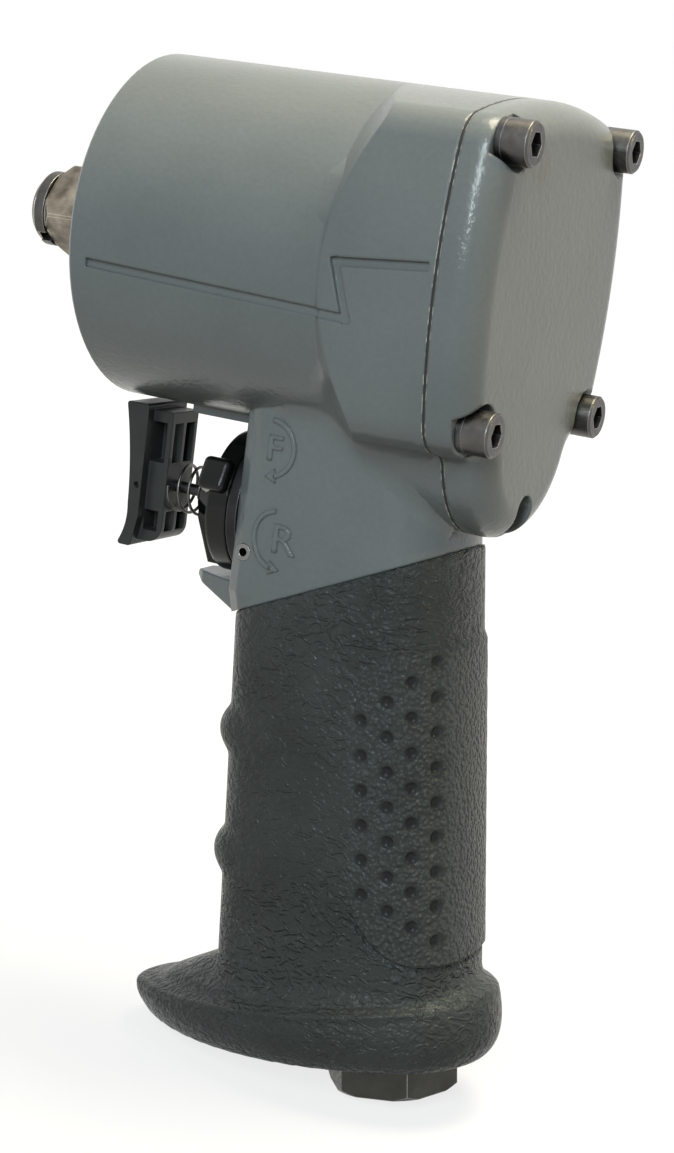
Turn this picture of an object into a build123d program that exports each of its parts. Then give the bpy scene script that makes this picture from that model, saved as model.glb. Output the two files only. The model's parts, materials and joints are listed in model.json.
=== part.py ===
"""Air impact wrench with a half inch square drive, one solid per piece.

Millimetres. The origin is on the drive axis, at the shoulder of the square drive.
+X points forward out of the drive, +Y to the operator's left, +Z up.
"""
import os
from math import asin, cos, hypot, pi, radians, sin, sqrt, tan

from build123d import *

# Fits and gaps between pieces
SEAT = 0.02  # radial clearance of a piece that is held still
RUN = 0.04  # radial clearance of a piece that turns or slides
AIR = 0.3  # gap between faces that pass each other
BALL_PLAY = 0.05

# Square drive and anvil
SQUARE = 12.7
DRIVE_LENGTH = 12.2
DRIVE_CORNER_R = 8.7
DRIVE_TURN = -5.0  # angle of the left corner above the horizontal, degrees
DRIVE_PILOT_R = 6.95  # turned front of the square
DRIVE_PILOT = 5.6  # length of the turned front
RING_GROOVE_R = 5.1
RING_WIDTH = 2.0
RING_R = 7.1
RING_BORE_R = 5.75
RING_GAP = 2.6
RING_TIP = 1.3  # from the groove to the tip
SHANK_R = 10.0
ANVIL_FLANGE = 2.0
ANVIL_FLANGE_R = 13.2
LOBE = 3.5  # lobes stand this much out of the core
LOBE_GAP = 1.9  # between a lobe and the hammer ring
LOBE_HALF_ANGLE = 32.0
PILOT_R = 4.0
PILOT = 1.8

# Hammer case
DRUM_R = 32.0
CASE_WALL = 4.4
RIM_X = -13.7  # front rim of the case
RIM_EDGE = 0.5
FRONT_WALL = 3.5
NOSE_X = -5.5
NOSE_R = 14.5
NOSE_WALL = 2.5
NOSE_FLARE = 2.0
SEAL_LENGTH = 2.4
PARTING_X = -86.0
GASKET = 0.5

# Rear cover and the screw pads in front of it
PAD_PROUD = 0.3  # pads stand this much outside the drum at the sides
PAD_BULGE = 95.0
PAD_CORNER = 7.0
PAD_X = -64.0  # front end of the pads' conical run-out
PAD_SLOPE = 0.86
PAD_RUN = 1.0  # the cone runs on in front of the pads
TONGUE_IN = 12.0  # sides of the tongue in from the sides of the drum
TONGUE_RISE = 6.5  # centre of the tongue above the underside of the drum
TONGUE_TAPER = 22.0
COVER_DEPTH = 8.25
COVER_EDGE = 6.0
COVER_RECESS_R = 19.0
COVER_RECESS = 3.6
SCREW_IN = 8.5  # screws in from the sides of the drum
SCREW_UP_IN = 7.3  # the upper two below its top
SCREW_DOWN_IN = 8.0  # the lower two above its underside
SCREW_R = 2.415
SCREW_HEAD_R = 3.96
SCREW_HEAD = 4.83
SCREW_HEX = 3.97
SCREW_SOCKET = 2.4
SCREW_REACH = 12.0
WASHER = 1.2
WASHER_GAP = 1.0
SCREW_SEAT = 4.75  # from the cover's front face back to the washer seat
POCKET_R = 5.1
POCKET_OUT = 4.3  # the pocket narrows to a second round this far to the side
POCKET_OUT_R = 2.5
NOTCH_R = 3.2  # scooped notch in the underside of the cover
NOTCH_IN = 5.4  # its centre above the underside of the tongue
NOTCH_DEPTH = 4.2
LINE_WIDTH = 1.6
LINE_DEPTH = 0.45
LINE_FRONT = (-18.3, -6.0)  # corners of the line along the sides, (x, z)
LINE_LOW = (-70.2, -8.0)
LINE_HIGH = (-67.2, 1.3)
LINE_REAR = (-83.8, 2.8)

# Twin hammer
CAGE_GAP = 0.7
CAGE_PLATE = 2.6
CAGE_BACK = 4.0
CAGE_HUB = 5.0
CAGE_HUB_R = 9.5
WEB = 1.8
WEB_HALF_ANGLE = 27.0
HAMMER_LENGTH = 9.5
HAMMER_GAP = 2.2  # between a hammer and the webs
HAMMER_RING = 8.5
LUG = 1.5
LUG_HALF_ANGLE = 17.0
ROCK = 4.0  # degrees each way
HAMMER_PIN_R = 2.5
HAMMER_PIN_IN = 3.9  # pin centre in from the outside of the hammer
SPLINE_R = 4.6
SPLINE_TOOTH = 1.0
SPLINE_TEETH = 8

# Vane motor
BORE_R = 20.0
BORE_RISE = 2.2  # the bore's centre above the rotor's
ROTOR_GAP = 0.25
FRONT_PLATE = 7.0
REAR_PLATE = 8.2
PLATE_LIP = 0.8
VANES = 6
VANE = 1.9
VANE_DEPTH = 7.6
DOWEL_R = 1.5
DOWEL_IN = 4.4  # in from the bore of the case
DOWEL_REACH = 4.0
FRONT_SHAFT_R = 6.0
FRONT_BEARING_R = 12.0
REAR_SHAFT_R = 5.0
REAR_BEARING_R = 11.0
BEARING = 6.0
FRONT_BALL_R = 2.0
REAR_BALL_R = 1.75
BALLS = 9
PORT_R = 1.6
PORT_Y = 4.5
PORT_BACK = 2.4  # behind the front of the cylinder

# Handle and grip
HANDLE_X = -68.2  # handle axis at its middle height
HANDLE_DROP = 63.0  # the same point below the drum
RAKE = 8.0
GRIP_FRONT = 23.4
GRIP_REAR = 23.4
GRIP_FLARE = 0.07  # the front line opens by this much per mm of height
GRIP_HALF = 17.5
GRIP_CORNER = 11.0
GRIP_END_BULGE = 40.0
GRIP_SIDE_BULGE = 70.0
GRIP_WALL = 3.0
NECK_INSET = 0.6
NECK_OVER = 26.0  # top of the neck over the trigger axis, inside the case
GRIP_EDGE_X = -37.6
GRIP_EDGE_DROP = 38.3
GRIP_EDGE_SLOPE = 24.8
BUMP = 2.3
BUMP_HALF = 5.5
BUMPS = (-8.7, 14.6)
FOOT_TOP = 36.0  # below the middle, where the foot flange starts to flare
FOOT_CREST = 41.2  # its crest, where it is widest from above
FOOT_CREST_IN = 0.4
FOOT_TILT = 4.6
FOOT_BELLY = 46.8
FOOT_BOTTOM = 51.5
FOOT_FRONT = 47.0
FOOT_REAR = 28.4
FOOT_HALF = 22.0
FOOT_FRONT_R = 9.0
FOOT_REAR_R = 19.0
FOOT_DRAFT = 2.6
CORE_DOWN = 45.0
LIP_X = -31.0
LIP_DROP = 30.7
LIP_THICK = 2.4
LIP_TIP_HALF = 3.5
LIP_HALF = 11.0
NECK_FLAT_HALF = 12.7  # half width of the neck's flat front
NECK_FLAT_WIDEN = 1.9
NECK_FLAT_DEPTH = 2.6
NECK_FLAT_RUN = 9.2  # from the flat front back to where it meets the neck's sides
NECK_FLAT_ROOT = 15.6
NECK_FLAT_FADE = 3.2  # the flat front is narrower by this at the top of the grip
LAND_HALF = 6.0
LAND_DROP = 0.9

# Trigger and reverse dial
TRIGGER_DROP = 16.5  # trigger axis below the drum
TRIGGER_X = -14.4
TRIGGER_THICK = 4.9
TRIGGER_HOLLOW = 2.4
TRIGGER_HALF = 7.0
TRIGGER_UP = 15.6
TRIGGER_DOWN = 11.9
TRIGGER_HOOK = 0.7  # the bottom tip stands this much behind the top
TRIGGER_BLOCK = 4.1  # depth of the ribbed block behind the plate
TRIGGER_BLOCK_HALF = 4.7
TRIGGER_BLOCK_ROUND = 3.0
TRIGGER_RIB = 1.1
TRIGGER_SKIN = 0.5  # in front of the stem
TRIGGER_BOSS_R = 4.7
TRIGGER_TRAVEL = 4.5
STEM_R = 1.1
CROSS_PIN_R = 0.6
CROSS_PIN_BACK = 3.9
SPRING_R = 4.5
SPRING_WIRE = 0.6
SPRING_TURNS = 3
DIAL_SEAT_X = -43.8
DIAL_R = 13.4
DIAL_DISC = 4.1
DIAL_LEVER = 6.4
DIAL_HUB_R = 8.6
DIAL_HUB_TIP_R = 5.4
DIAL_LOBE_HALF = 4.6
DIAL_LOBE = 12.1
KNOB_OUT = 15.6
KNOB_HALF = 3.2
KNOB_TILT = 26.0
KNOB_ROUND = 1.2
KNOB_FRONT = 1.9  # in front of the disc
SLEEVE_R = 7.6
SLEEVE_WALL = 2.0
SLEEVE_LENGTH = 20.0
SLEEVE_FLANGE = 2.0
VALVE_LENGTH = 19.0
VALVE_TANG_R = 4.4
VALVE_TANG = 3.0
SEAL_WIRE_R = 0.9
SEAL_PLACES = (7.5, 15.5)  # behind the dial seat
VALVE_PIN_R = 1.5
VALVE_PIN_BORE_R = 0.8
VALVE_PIN_BACK = 3.1
VALVE_PIN_DROP = 6.5
VALVE_PIN_HALF = 14.8
DETENT_R = 1.5
DETENT_RISE = 9.6
DETENT_DEPTH = 7.0
DETENT_PROUD = 0.9

# Inlet, throttle and exhaust in the handle
INLET_BACK = 7.7  # behind the handle axis
INLET_R = 8.0
INLET_OVER = 4.1  # top of the inlet bore over the trigger axis
THROTTLE_DOWN = -3.8  # underside of the throttle seat
SEAT_LENGTH = 6.0
SEAT_BORE_R = 4.2
THROTTLE_R = 6.0
THROTTLE_HEAD = 2.4
THROTTLE_STEM_R = 1.5
THROTTLE_SLACK = 1.0
SCREEN_DOWN = 14.0
SCREEN_R = 6.6
SCREEN_WALL = 0.6
SCREEN_HOLE_R = 0.7
BUSHING_TOP = 28.0
BUSHING_FIT = 0.1
HEX_FLATS = 22.2
HEX_TURN = 8.6  # degrees about the inlet's axis
HEX_BOTTOM = 58.5
HEX_ROUND = 1.2
THREAD_R = 5.75
THREAD_LENGTH = 12.0
AIRWAY_R = 4.6
BUSHING_SEAL_DOWN = 40.0
EXHAUST_FRONT = 8.0
EXHAUST_R = 6.0
EXHAUST_UNDER = 2.9  # top of the exhaust bore under the trigger axis
MUFFLER_TOP = 22.0
EXHAUST_PLATE = 3.5
PLATE_FIT = 0.1
EXHAUST_SLOT = 1.6
EXHAUST_SLOTS = 4

# Places that follow from the sizes above
CAVITY_R = DRUM_R - CASE_WALL
TONGUE_R = DRUM_R - TONGUE_IN
TONGUE_DROP = DRUM_R - TONGUE_RISE
HANDLE_Z = -DRUM_R - HANDLE_DROP
GRIP_EDGE_Z = -DRUM_R - GRIP_EDGE_DROP
LIP_Z = -DRUM_R - LIP_DROP
CAVITY_X = RIM_X - FRONT_WALL
HOUSING_X = PARTING_X + GASKET / 2
COVER_X = PARTING_X - GASKET / 2
COVER_BACK_X = COVER_X - COVER_DEPTH
FLANGE_X = CAVITY_X - AIR
CAGE_X = FLANGE_X - ANVIL_FLANGE - AIR
CAGE_R = CAVITY_R - CAGE_GAP
HAMMER_R = CAGE_R - WEB - HAMMER_GAP
HAMMER_BORE_R = HAMMER_R - HAMMER_RING
HAMMER_PIN_OUT = HAMMER_R - HAMMER_PIN_IN
LUG_R = HAMMER_BORE_R - LUG
LOBE_R = HAMMER_BORE_R - LOBE_GAP
ANVIL_CORE_R = LOBE_R - LOBE
FRONT_HAMMER_X = CAGE_X - CAGE_PLATE - AIR
REAR_HAMMER_X = FRONT_HAMMER_X - HAMMER_LENGTH - AIR
CAGE_BACK_X = REAR_HAMMER_X - HAMMER_LENGTH - AIR
CAGE_HUB_X = CAGE_BACK_X - CAGE_BACK
FRONT_PLATE_X = CAGE_HUB_X - CAGE_HUB - AIR
CYLINDER_X = FRONT_PLATE_X - FRONT_PLATE
REAR_PLATE_X = COVER_X + REAR_PLATE
ROTOR_R = BORE_R - BORE_RISE - ROTOR_GAP
DOWEL_OUT = CAVITY_R - DOWEL_IN
FRONT_BEARING_X = FRONT_PLATE_X - AIR
REAR_BEARING_X = REAR_PLATE_X - PLATE_LIP
TRIGGER_Z = -DRUM_R - TRIGGER_DROP
TRIGGER_PLATE_X = TRIGGER_X - TRIGGER_THICK
TRIGGER_BACK_X = TRIGGER_PLATE_X - TRIGGER_BLOCK
LAND_X = TRIGGER_BACK_X - TRIGGER_TRAVEL - AIR
DIAL_BACK_X = DIAL_SEAT_X + SLEEVE_FLANGE + AIR
DIAL_FACE_X = DIAL_BACK_X + DIAL_DISC
DIAL_FRONT_X = DIAL_FACE_X + DIAL_LEVER
VALVE_R = SLEEVE_R - SLEEVE_WALL - RUN
SCREW_Y = DRUM_R - SCREW_IN
SCREWS = (  # y, z and the x of the washer seat
    (SCREW_Y, DRUM_R - SCREW_UP_IN, COVER_X - SCREW_SEAT),
    (-SCREW_Y, DRUM_R - SCREW_UP_IN, COVER_X - SCREW_SEAT),
    (SCREW_Y, SCREW_DOWN_IN - DRUM_R, COVER_X - SCREW_SEAT),
    (-SCREW_Y, SCREW_DOWN_IN - DRUM_R, COVER_X - SCREW_SEAT),
)

# Handle frame: local x to the front, local y to the left, local z up along the raked axis
HANDLE = Plane(
    origin=(HANDLE_X, 0, HANDLE_Z),
    x_dir=(cos(radians(RAKE)), 0, -sin(radians(RAKE))),
    z_dir=(sin(radians(RAKE)), 0, cos(radians(RAKE))),
)
# Where the inlet axis crosses the trigger axis
STEM_UP = (TRIGGER_Z - HANDLE_Z - INLET_BACK * sin(radians(RAKE))) / cos(radians(RAKE))
CROSS_X = HANDLE_X - INLET_BACK * cos(radians(RAKE)) + STEM_UP * sin(radians(RAKE))
NECK_TOP = STEM_UP + NECK_OVER
INLET_TOP = STEM_UP + INLET_OVER
EXHAUST_TOP = STEM_UP - EXHAUST_UNDER
STEM_END_X = CROSS_X + THROTTLE_STEM_R / cos(radians(RAKE)) + THROTTLE_SLACK


def turned(*outline):
    """Solid of revolution about the drive axis, from points (x, radius)."""
    return revolve(Plane.XZ * make_face(Polyline(*outline, close=True)), Axis.X)


def rod(radius, x_from, x_to, y=0, z=0):
    """Round bar along X."""
    return Pos((x_from + x_to) / 2, y, z) * Rot(0, 90, 0) * Cylinder(radius, abs(x_to - x_from))


def tube(radius, bore, x_from, x_to, y=0, z=0):
    """Round tube along X."""
    return rod(radius, x_from, x_to, y, z) - rod(bore, x_from, x_to, y, z)


def cross_rod(radius, x, z, half):
    """Round bar along Y, centred on the middle plane."""
    return Pos(x, 0, z) * Rot(90, 0, 0) * Cylinder(radius, 2 * half)


def along_x(sketch, x_low, x_high):
    """Prism along X of a sketch drawn in (y, z)."""
    return extrude(Plane.YZ.offset(x_low) * sketch, x_high - x_low)


def block(x_low, x_high, y_low, y_high, z_low, z_high):
    """Box between two corners."""
    middle = Pos((x_low + x_high) / 2, (y_low + y_high) / 2, (z_low + z_high) / 2)
    return middle * Box(x_high - x_low, y_high - y_low, z_high - z_low)


def side_profile(half, *outline):
    """Prism across Y, from y = -half to half, of an outline in (x, z)."""
    return extrude(Plane.XZ * make_face(Polyline(*outline, close=True)), half, both=True)


def sector(radius, half_angle, middle_angle):
    """Pie slice in (y, z), its angle counted from +Y towards +Z."""
    reach = radius / cos(radians(half_angle))
    corners = [(0, 0)]
    for angle in (middle_angle - half_angle, middle_angle + half_angle):
        corners.append((reach * cos(radians(angle)), reach * sin(radians(angle))))
    return Circle(radius) & make_face(Polyline(*corners, close=True))


def down_handle(sketch, down_from, down_to):
    """Prism along the handle of a sketch in handle coordinates."""
    return extrude(HANDLE.offset(-down_to) * sketch, down_to - down_from)


def handle_rod(radius, forward, down_from, down_to):
    """Round bar along the handle."""
    return down_handle(Pos(forward, 0) * Circle(radius), down_from, down_to)


def pillow(front, rear, half, end_bulge, side_bulge, corner):
    """Four-sided outline with convex sides and rounded corners."""
    middle = (front + rear) / 2
    outline = Pos(front - end_bulge, 0) * Rot(0, 0, 180) * Circle(end_bulge)
    outline &= Pos(rear + end_bulge, 0) * Circle(end_bulge)
    outline &= Pos(middle, half - side_bulge) * Circle(side_bulge)
    outline &= Pos(middle, side_bulge - half) * Circle(side_bulge)
    return fillet(outline.vertices(), corner)


def oval(front, rear, half, front_r, rear_r):
    """Egg-shaped outline of four tangent arcs, pointed towards the front."""
    x_front = front - front_r
    x_rear = rear + rear_r
    slope = (front_r - rear_r) / (x_front - x_rear)
    start = (x_front**2 - x_rear**2 - front_r**2 + rear_r**2) / (2 * (x_front - x_rear))
    second = slope**2
    first = 2 * slope * (start - x_front) - 2 * half + 2 * front_r
    zero = (start - x_front) ** 2 + half**2 - front_r**2
    side_r = (-first - sqrt(first**2 - 4 * second * zero)) / (2 * second)
    side_x = slope * side_r + start
    drop = side_r - half
    front_angle = asin(drop / (side_r - front_r))
    rear_angle = asin(drop / (side_r - rear_r))
    front_touch = (x_front + front_r * cos(front_angle), front_r * sin(front_angle))
    rear_touch = (x_rear - rear_r * cos(rear_angle), rear_r * sin(rear_angle))
    mirrored = [(x, -y) for x, y in (front_touch, rear_touch)]
    return make_face(
        [
            ThreePointArc(mirrored[0], (front, 0), front_touch),
            ThreePointArc(front_touch, (side_x, half), rear_touch),
            ThreePointArc(rear_touch, (rear, 0), mirrored[1]),
            ThreePointArc(mirrored[1], (side_x, -half), mirrored[0]),
        ]
    )


def grip_section(down, inset, front_extra=0):
    """Section of the handle at a height, set in from the grip's surface."""
    return pillow(
        GRIP_FRONT + GRIP_FLARE * down - inset + front_extra,
        inset - GRIP_REAR,
        GRIP_HALF - inset,
        GRIP_END_BULGE,
        GRIP_SIDE_BULGE,
        GRIP_CORNER - inset,
    )


def handle_bar(inset, down_from, down_to):
    """The handle's tapering bar between two heights."""
    sections = []
    for down in (down_to, down_from):
        sections.append(HANDLE.offset(-down) * grip_section(down, inset))
    return loft(sections, ruled=True)


def above_grip():
    """Space above the slanted top edge of the grip."""
    rise = tan(radians(GRIP_EDGE_SLOPE))
    reach = 6 * DRUM_R
    front = (GRIP_EDGE_X + reach, GRIP_EDGE_Z - rise * reach)
    back = (GRIP_EDGE_X - reach, GRIP_EDGE_Z + rise * reach)
    return side_profile(reach, front, back, (GRIP_EDGE_X, GRIP_EDGE_Z + 2 * reach))


def turn_points(radius, pitch, turn):
    """Point and direction on a coil about Z after a number of turns."""
    angle = 2 * pi * turn
    point = Vector(radius * cos(angle), radius * sin(angle), pitch * turn)
    way = Vector(-radius * sin(angle), radius * cos(angle), pitch / (2 * pi))
    return point, way.normalized()


def coil(name, radius, wire, turns, length):
    """Coil spring about Z of the given outside length, as one tube on pairs of tangent arcs.

    Each end runs straight for one wire diameter.
    """
    straight = wire / (2 * pi * radius)  # share of a turn
    pitch = (length - wire) / (turns + 2 * straight)
    first, first_way = turn_points(radius, pitch, 0)
    last, last_way = turn_points(radius, pitch, turns)
    tip = first - first_way * wire
    edges = [Line(tip, first)]
    for quarter in range(4 * turns):
        start, start_way = turn_points(radius, pitch, quarter / 4)
        end, end_way = turn_points(radius, pitch, (quarter + 1) / 4)
        gap = end - start
        lean = gap.dot(start_way + end_way)
        bend = 2 * (1 - start_way.dot(end_way))
        arm = (sqrt(lean**2 + bend * gap.dot(gap)) - lean) / bend
        middle = (start + end + (start_way - end_way) * arm) * 0.5
        middle_way = (end - end_way * arm) - (start + start_way * arm)
        edges.append(TangentArc(start, middle, tangent=start_way))
        edges.append(TangentArc(middle, end, tangent=middle_way.normalized()))
    edges.append(Line(last, last + last_way * wire))
    tube_solid = sweep(Plane(tip, z_dir=first_way) * Circle(wire / 2), path=Wire(edges))
    points = [turn_points(radius, pitch, step / 48)[0] for step in range(48 * turns + 1)]
    least = min(
        (points[i] - points[j]).length for i in range(len(points)) for j in range(i + 24, len(points))
    )
    print(f"{name}: least gap between turns {least - wire:.2f} mm, volume {tube_solid.volume:.1f} mm3")
    return Pos(0, 0, wire / 2 + pitch * straight) * tube_solid


def pad_outline():
    """Outline of the screw pads and the cover, drawn in (y, z)."""
    side = DRUM_R + PAD_PROUD
    return pillow(side, -side, DRUM_R, PAD_BULGE, PAD_BULGE, PAD_CORNER)


def cover_outline():
    """Outline of the cover: the pads and a round tongue below, blended together."""
    outline = pad_outline() + Pos(0, -TONGUE_DROP) * Circle(TONGUE_R)
    inner = [corner for corner in outline.vertices() if corner.Y < -TONGUE_DROP]
    blend = [corner for corner in inner if abs(hypot(corner.X, corner.Y + TONGUE_DROP) - TONGUE_R) < SEAT]
    return fillet(blend, PAD_CORNER / 2)


def case_front():
    """Outside of the case as a turned solid."""
    return turned(
        (HOUSING_X, 0),
        (HOUSING_X, DRUM_R),
        (RIM_X - RIM_EDGE, DRUM_R),
        (RIM_X, DRUM_R - RIM_EDGE),
        (NOSE_X - NOSE_WALL, NOSE_R + NOSE_FLARE),
        (NOSE_X, NOSE_R),
        (NOSE_X, 0),
    )


def screw_pads():
    """Square shoulder at the rear of the case, run out by a turned cone."""
    rear_r = DRUM_R + PAD_SLOPE * (PAD_X - HOUSING_X)
    cone = turned(
        (HOUSING_X, 0),
        (HOUSING_X, rear_r),
        (PAD_X + PAD_RUN, DRUM_R - PAD_SLOPE * PAD_RUN),
        (PAD_X + PAD_RUN, 0),
    )
    return along_x(pad_outline(), HOUSING_X, PAD_X) & cone


def neck_tongue():
    """Round underside of the rear of the case, drawn in towards the neck."""
    taper = Cone(TONGUE_R, TONGUE_R - NECK_INSET * 4, TONGUE_TAPER)
    return Pos(HOUSING_X + TONGUE_TAPER / 2, 0, -TONGUE_DROP) * Rot(0, 90, 0) * taper


def finger_lip():
    """Lip that keeps the finger on the trigger off the grip."""
    back = DIAL_SEAT_X - LIP_HALF / 2
    profile = side_profile(
        LIP_HALF,
        (back, LIP_Z),
        (LIP_X - LIP_THICK / 4, LIP_Z),
        (LIP_X, LIP_Z - LIP_THICK / 4),
        (LIP_X, LIP_Z - LIP_THICK / 2),
        (LIP_X - LIP_THICK, LIP_Z - LIP_THICK),
        (DIAL_SEAT_X + LIP_THICK / 2, GRIP_EDGE_Z + LIP_THICK),
        (back, GRIP_EDGE_Z + LIP_THICK),
    )
    corners = []
    for side in (1, -1):
        plan = [(LIP_X, LIP_TIP_HALF / 2), (LIP_X - LIP_TIP_HALF / 2, LIP_TIP_HALF), (back, LIP_HALF)]
        corners += [(x, side * y) for x, y in plan][::side]
    outline = make_face(Polyline(*corners, close=True))
    column = extrude(Pos(0, 0, GRIP_EDGE_Z - LIP_HALF) * outline, 3 * LIP_HALF)
    return profile & column & above_grip()


def neck_front_plan(half):
    """Outline of the neck's front from above, widening back into the neck's sides."""
    side = [
        (DIAL_SEAT_X, half),
        (DIAL_SEAT_X - NECK_FLAT_DEPTH, half + NECK_FLAT_WIDEN),
        (DIAL_SEAT_X - NECK_FLAT_RUN, NECK_FLAT_ROOT),
    ]
    return make_face(Polyline(*side, *[(x, -y) for x, y in side[::-1]], close=True))


def neck_front():
    """Flat front of the neck behind the dial, which fades into the neck below the finger lip."""
    plan = Pos(0, 0, LIP_Z) * neck_front_plan(NECK_FLAT_HALF)
    faded = Pos(0, 0, GRIP_EDGE_Z) * neck_front_plan(NECK_FLAT_HALF - NECK_FLAT_FADE)
    return extrude(plan, -LIP_Z - CAVITY_R) + (loft([faded, plan], ruled=True) & above_grip())


def line_band(start, end, floor):
    """Straight stretch of the engraved line on both sides, down to y = floor."""
    along = Vector(end[0] - start[0], end[1] - start[1]).normalized() * (LINE_WIDTH / 2)
    corners = []
    for (x, z), way in ((start, -1), (end, 1)):
        tip = (x + way * along.X, z + way * along.Y)
        corners += [(tip[0] + turn * way * along.Y, tip[1] - turn * way * along.X) for turn in (-1, 1)]
    face = make_face(Polyline(*corners, close=True))
    band = extrude(Plane.XZ * face, DRUM_R + 2 * LINE_WIDTH, both=True)
    return band - block(PARTING_X, 0, -floor, floor, -DRUM_R, DRUM_R)


def side_lines():
    """Cutters for the line engraved along both sides of the case."""
    share = (PAD_X - LINE_FRONT[0]) / (LINE_LOW[0] - LINE_FRONT[0])
    pad_start = (PAD_X, LINE_FRONT[1] + share * (LINE_LOW[1] - LINE_FRONT[1]))
    drum_floor = sqrt(DRUM_R**2 - LINE_LOW[1] ** 2) - LINE_DEPTH
    pad_floor = DRUM_R + PAD_PROUD - 2 * LINE_DEPTH
    return [
        line_band(LINE_FRONT, pad_start, drum_floor),
        line_band(pad_start, LINE_LOW, pad_floor),
        line_band(LINE_LOW, LINE_HIGH, pad_floor),
        line_band(LINE_HIGH, LINE_REAR, pad_floor),
    ]


def housing():
    """Case, neck and handle core in one casting."""
    neck = handle_bar(NECK_INSET, -NECK_TOP, 0) & above_grip()
    core = handle_bar(GRIP_WALL, -NECK_TOP, CORE_DOWN)
    land = block(DIAL_SEAT_X, LAND_X, -LAND_HALF, LAND_HALF, -DRUM_R - LAND_DROP, -CAVITY_R)
    body = case_front() + screw_pads() + neck_tongue() + neck + neck_front() + core + finger_lip() + land
    body -= rod(CAVITY_R, HOUSING_X, CAVITY_X)
    body -= rod(NOSE_R - NOSE_WALL, CAVITY_X, NOSE_X)
    body -= block(DIAL_SEAT_X, TRIGGER_X, -DRUM_R, DRUM_R, LIP_Z, -DRUM_R - LAND_DROP)
    body -= rod(SLEEVE_R, DIAL_SEAT_X - SLEEVE_LENGTH, DIAL_SEAT_X, 0, TRIGGER_Z)
    body -= handle_rod(INLET_R, -INLET_BACK, -INLET_TOP, CORE_DOWN)
    body -= handle_rod(EXHAUST_R, EXHAUST_FRONT, -EXHAUST_TOP, CORE_DOWN)
    body -= cross_rod(VALVE_PIN_R + SEAT, DIAL_SEAT_X - VALVE_PIN_BACK, TRIGGER_Z - VALVE_PIN_DROP, GRIP_HALF)
    body -= rod(DETENT_R + RUN, DIAL_SEAT_X - DETENT_DEPTH, DIAL_SEAT_X, 0, TRIGGER_Z + DETENT_RISE)
    for y, z, seat_x in SCREWS:
        body -= rod(SCREW_R + SEAT, HOUSING_X, HOUSING_X + SCREW_REACH, y, z)
    for port in air_ports():
        body -= port
    for cutter in side_lines():
        body -= cutter
    return body


def air_ports():
    """Cutters for the two airways between the reverse valve and the cylinder."""
    ports = []
    height = DRUM_R + TRIGGER_DROP - BORE_R / 2
    for side in (1, -1):
        place = Pos(CYLINDER_X - PORT_BACK, side * PORT_Y, TRIGGER_Z + height / 2)
        ports.append(place * Cylinder(PORT_R, height))
    return ports


def rear_cover():
    """End cover with four screw pockets that run out at its rounded edge, and a notch below."""
    body = along_x(cover_outline(), COVER_BACK_X, COVER_X)
    body = fillet(body.faces().sort_by(Axis.X)[0].edges(), COVER_EDGE)
    body -= rod(COVER_RECESS_R, COVER_X, COVER_X - COVER_RECESS)
    for y, z, seat_x in SCREWS:
        side = POCKET_OUT if y > 0 else -POCKET_OUT
        rounds = Pos(y, z) * Circle(POCKET_R) + Pos(y + side, z) * Circle(POCKET_OUT_R)
        body -= rod(SCREW_R + SEAT, COVER_X, seat_x, y, z)
        body -= along_x(make_hull(rounds.edges()), COVER_BACK_X - POCKET_R, seat_x)
    notch_z = NOTCH_IN - TONGUE_DROP - TONGUE_R
    notch = Pos(0, notch_z) * (Circle(NOTCH_R) + Pos(0, -NOTCH_IN) * Rectangle(2 * NOTCH_R, 2 * NOTCH_IN))
    body -= along_x(notch, COVER_BACK_X - NOTCH_R, COVER_BACK_X + NOTCH_DEPTH)
    return body


def cover_gasket():
    """Flat gasket between case and cover."""
    outline = cover_outline() - Circle(CAVITY_R)
    for y, z, seat_x in SCREWS:
        outline -= Pos(y, z) * Circle(SCREW_R + SEAT)
    return along_x(outline, COVER_X, HOUSING_X)


def cover_screws():
    """Four socket head cap screws."""
    screws = []
    for y, z, seat_x in SCREWS:
        under_head = seat_x - WASHER
        screw = rod(SCREW_R, HOUSING_X + SCREW_REACH - AIR, under_head, y, z)
        head = rod(SCREW_HEAD_R, under_head, under_head - SCREW_HEAD, y, z)
        screw += chamfer(head.faces().sort_by(Axis.X)[0].edges(), SCREW_SOCKET / 6)
        socket = Pos(y, z) * RegularPolygon(SCREW_HEX / 2, 6, major_radius=False)
        screw -= along_x(socket, under_head - SCREW_HEAD, under_head - SCREW_HEAD + SCREW_SOCKET)
        screws.append(screw)
    return Compound(screws)


def cover_lock_washers():
    """Split washers under the screw heads."""
    washers = []
    for y, z, seat_x in SCREWS:
        ring = Pos(y, z) * (Circle(SCREW_HEAD_R) - Circle(SCREW_R + SEAT))
        ring -= Pos(y - SCREW_HEAD_R, z) * Rectangle(2 * SCREW_HEAD_R, WASHER_GAP)
        washers.append(along_x(ring, seat_x - WASHER, seat_x))
    return Compound(washers)


def anvil_bushing():
    """Plain bearing of the anvil in the nose."""
    return tube(NOSE_R - NOSE_WALL - SEAT, SHANK_R + RUN, CAVITY_X, NOSE_X - SEAL_LENGTH)


def nose_seal():
    """Shaft seal in front of the bushing."""
    return tube(NOSE_R - NOSE_WALL - SEAT, SHANK_R + RUN, NOSE_X - SEAL_LENGTH, NOSE_X)


def ring_x():
    """Rear side of the friction ring's groove."""
    return DRIVE_LENGTH - RING_TIP - RING_WIDTH - AIR


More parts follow.
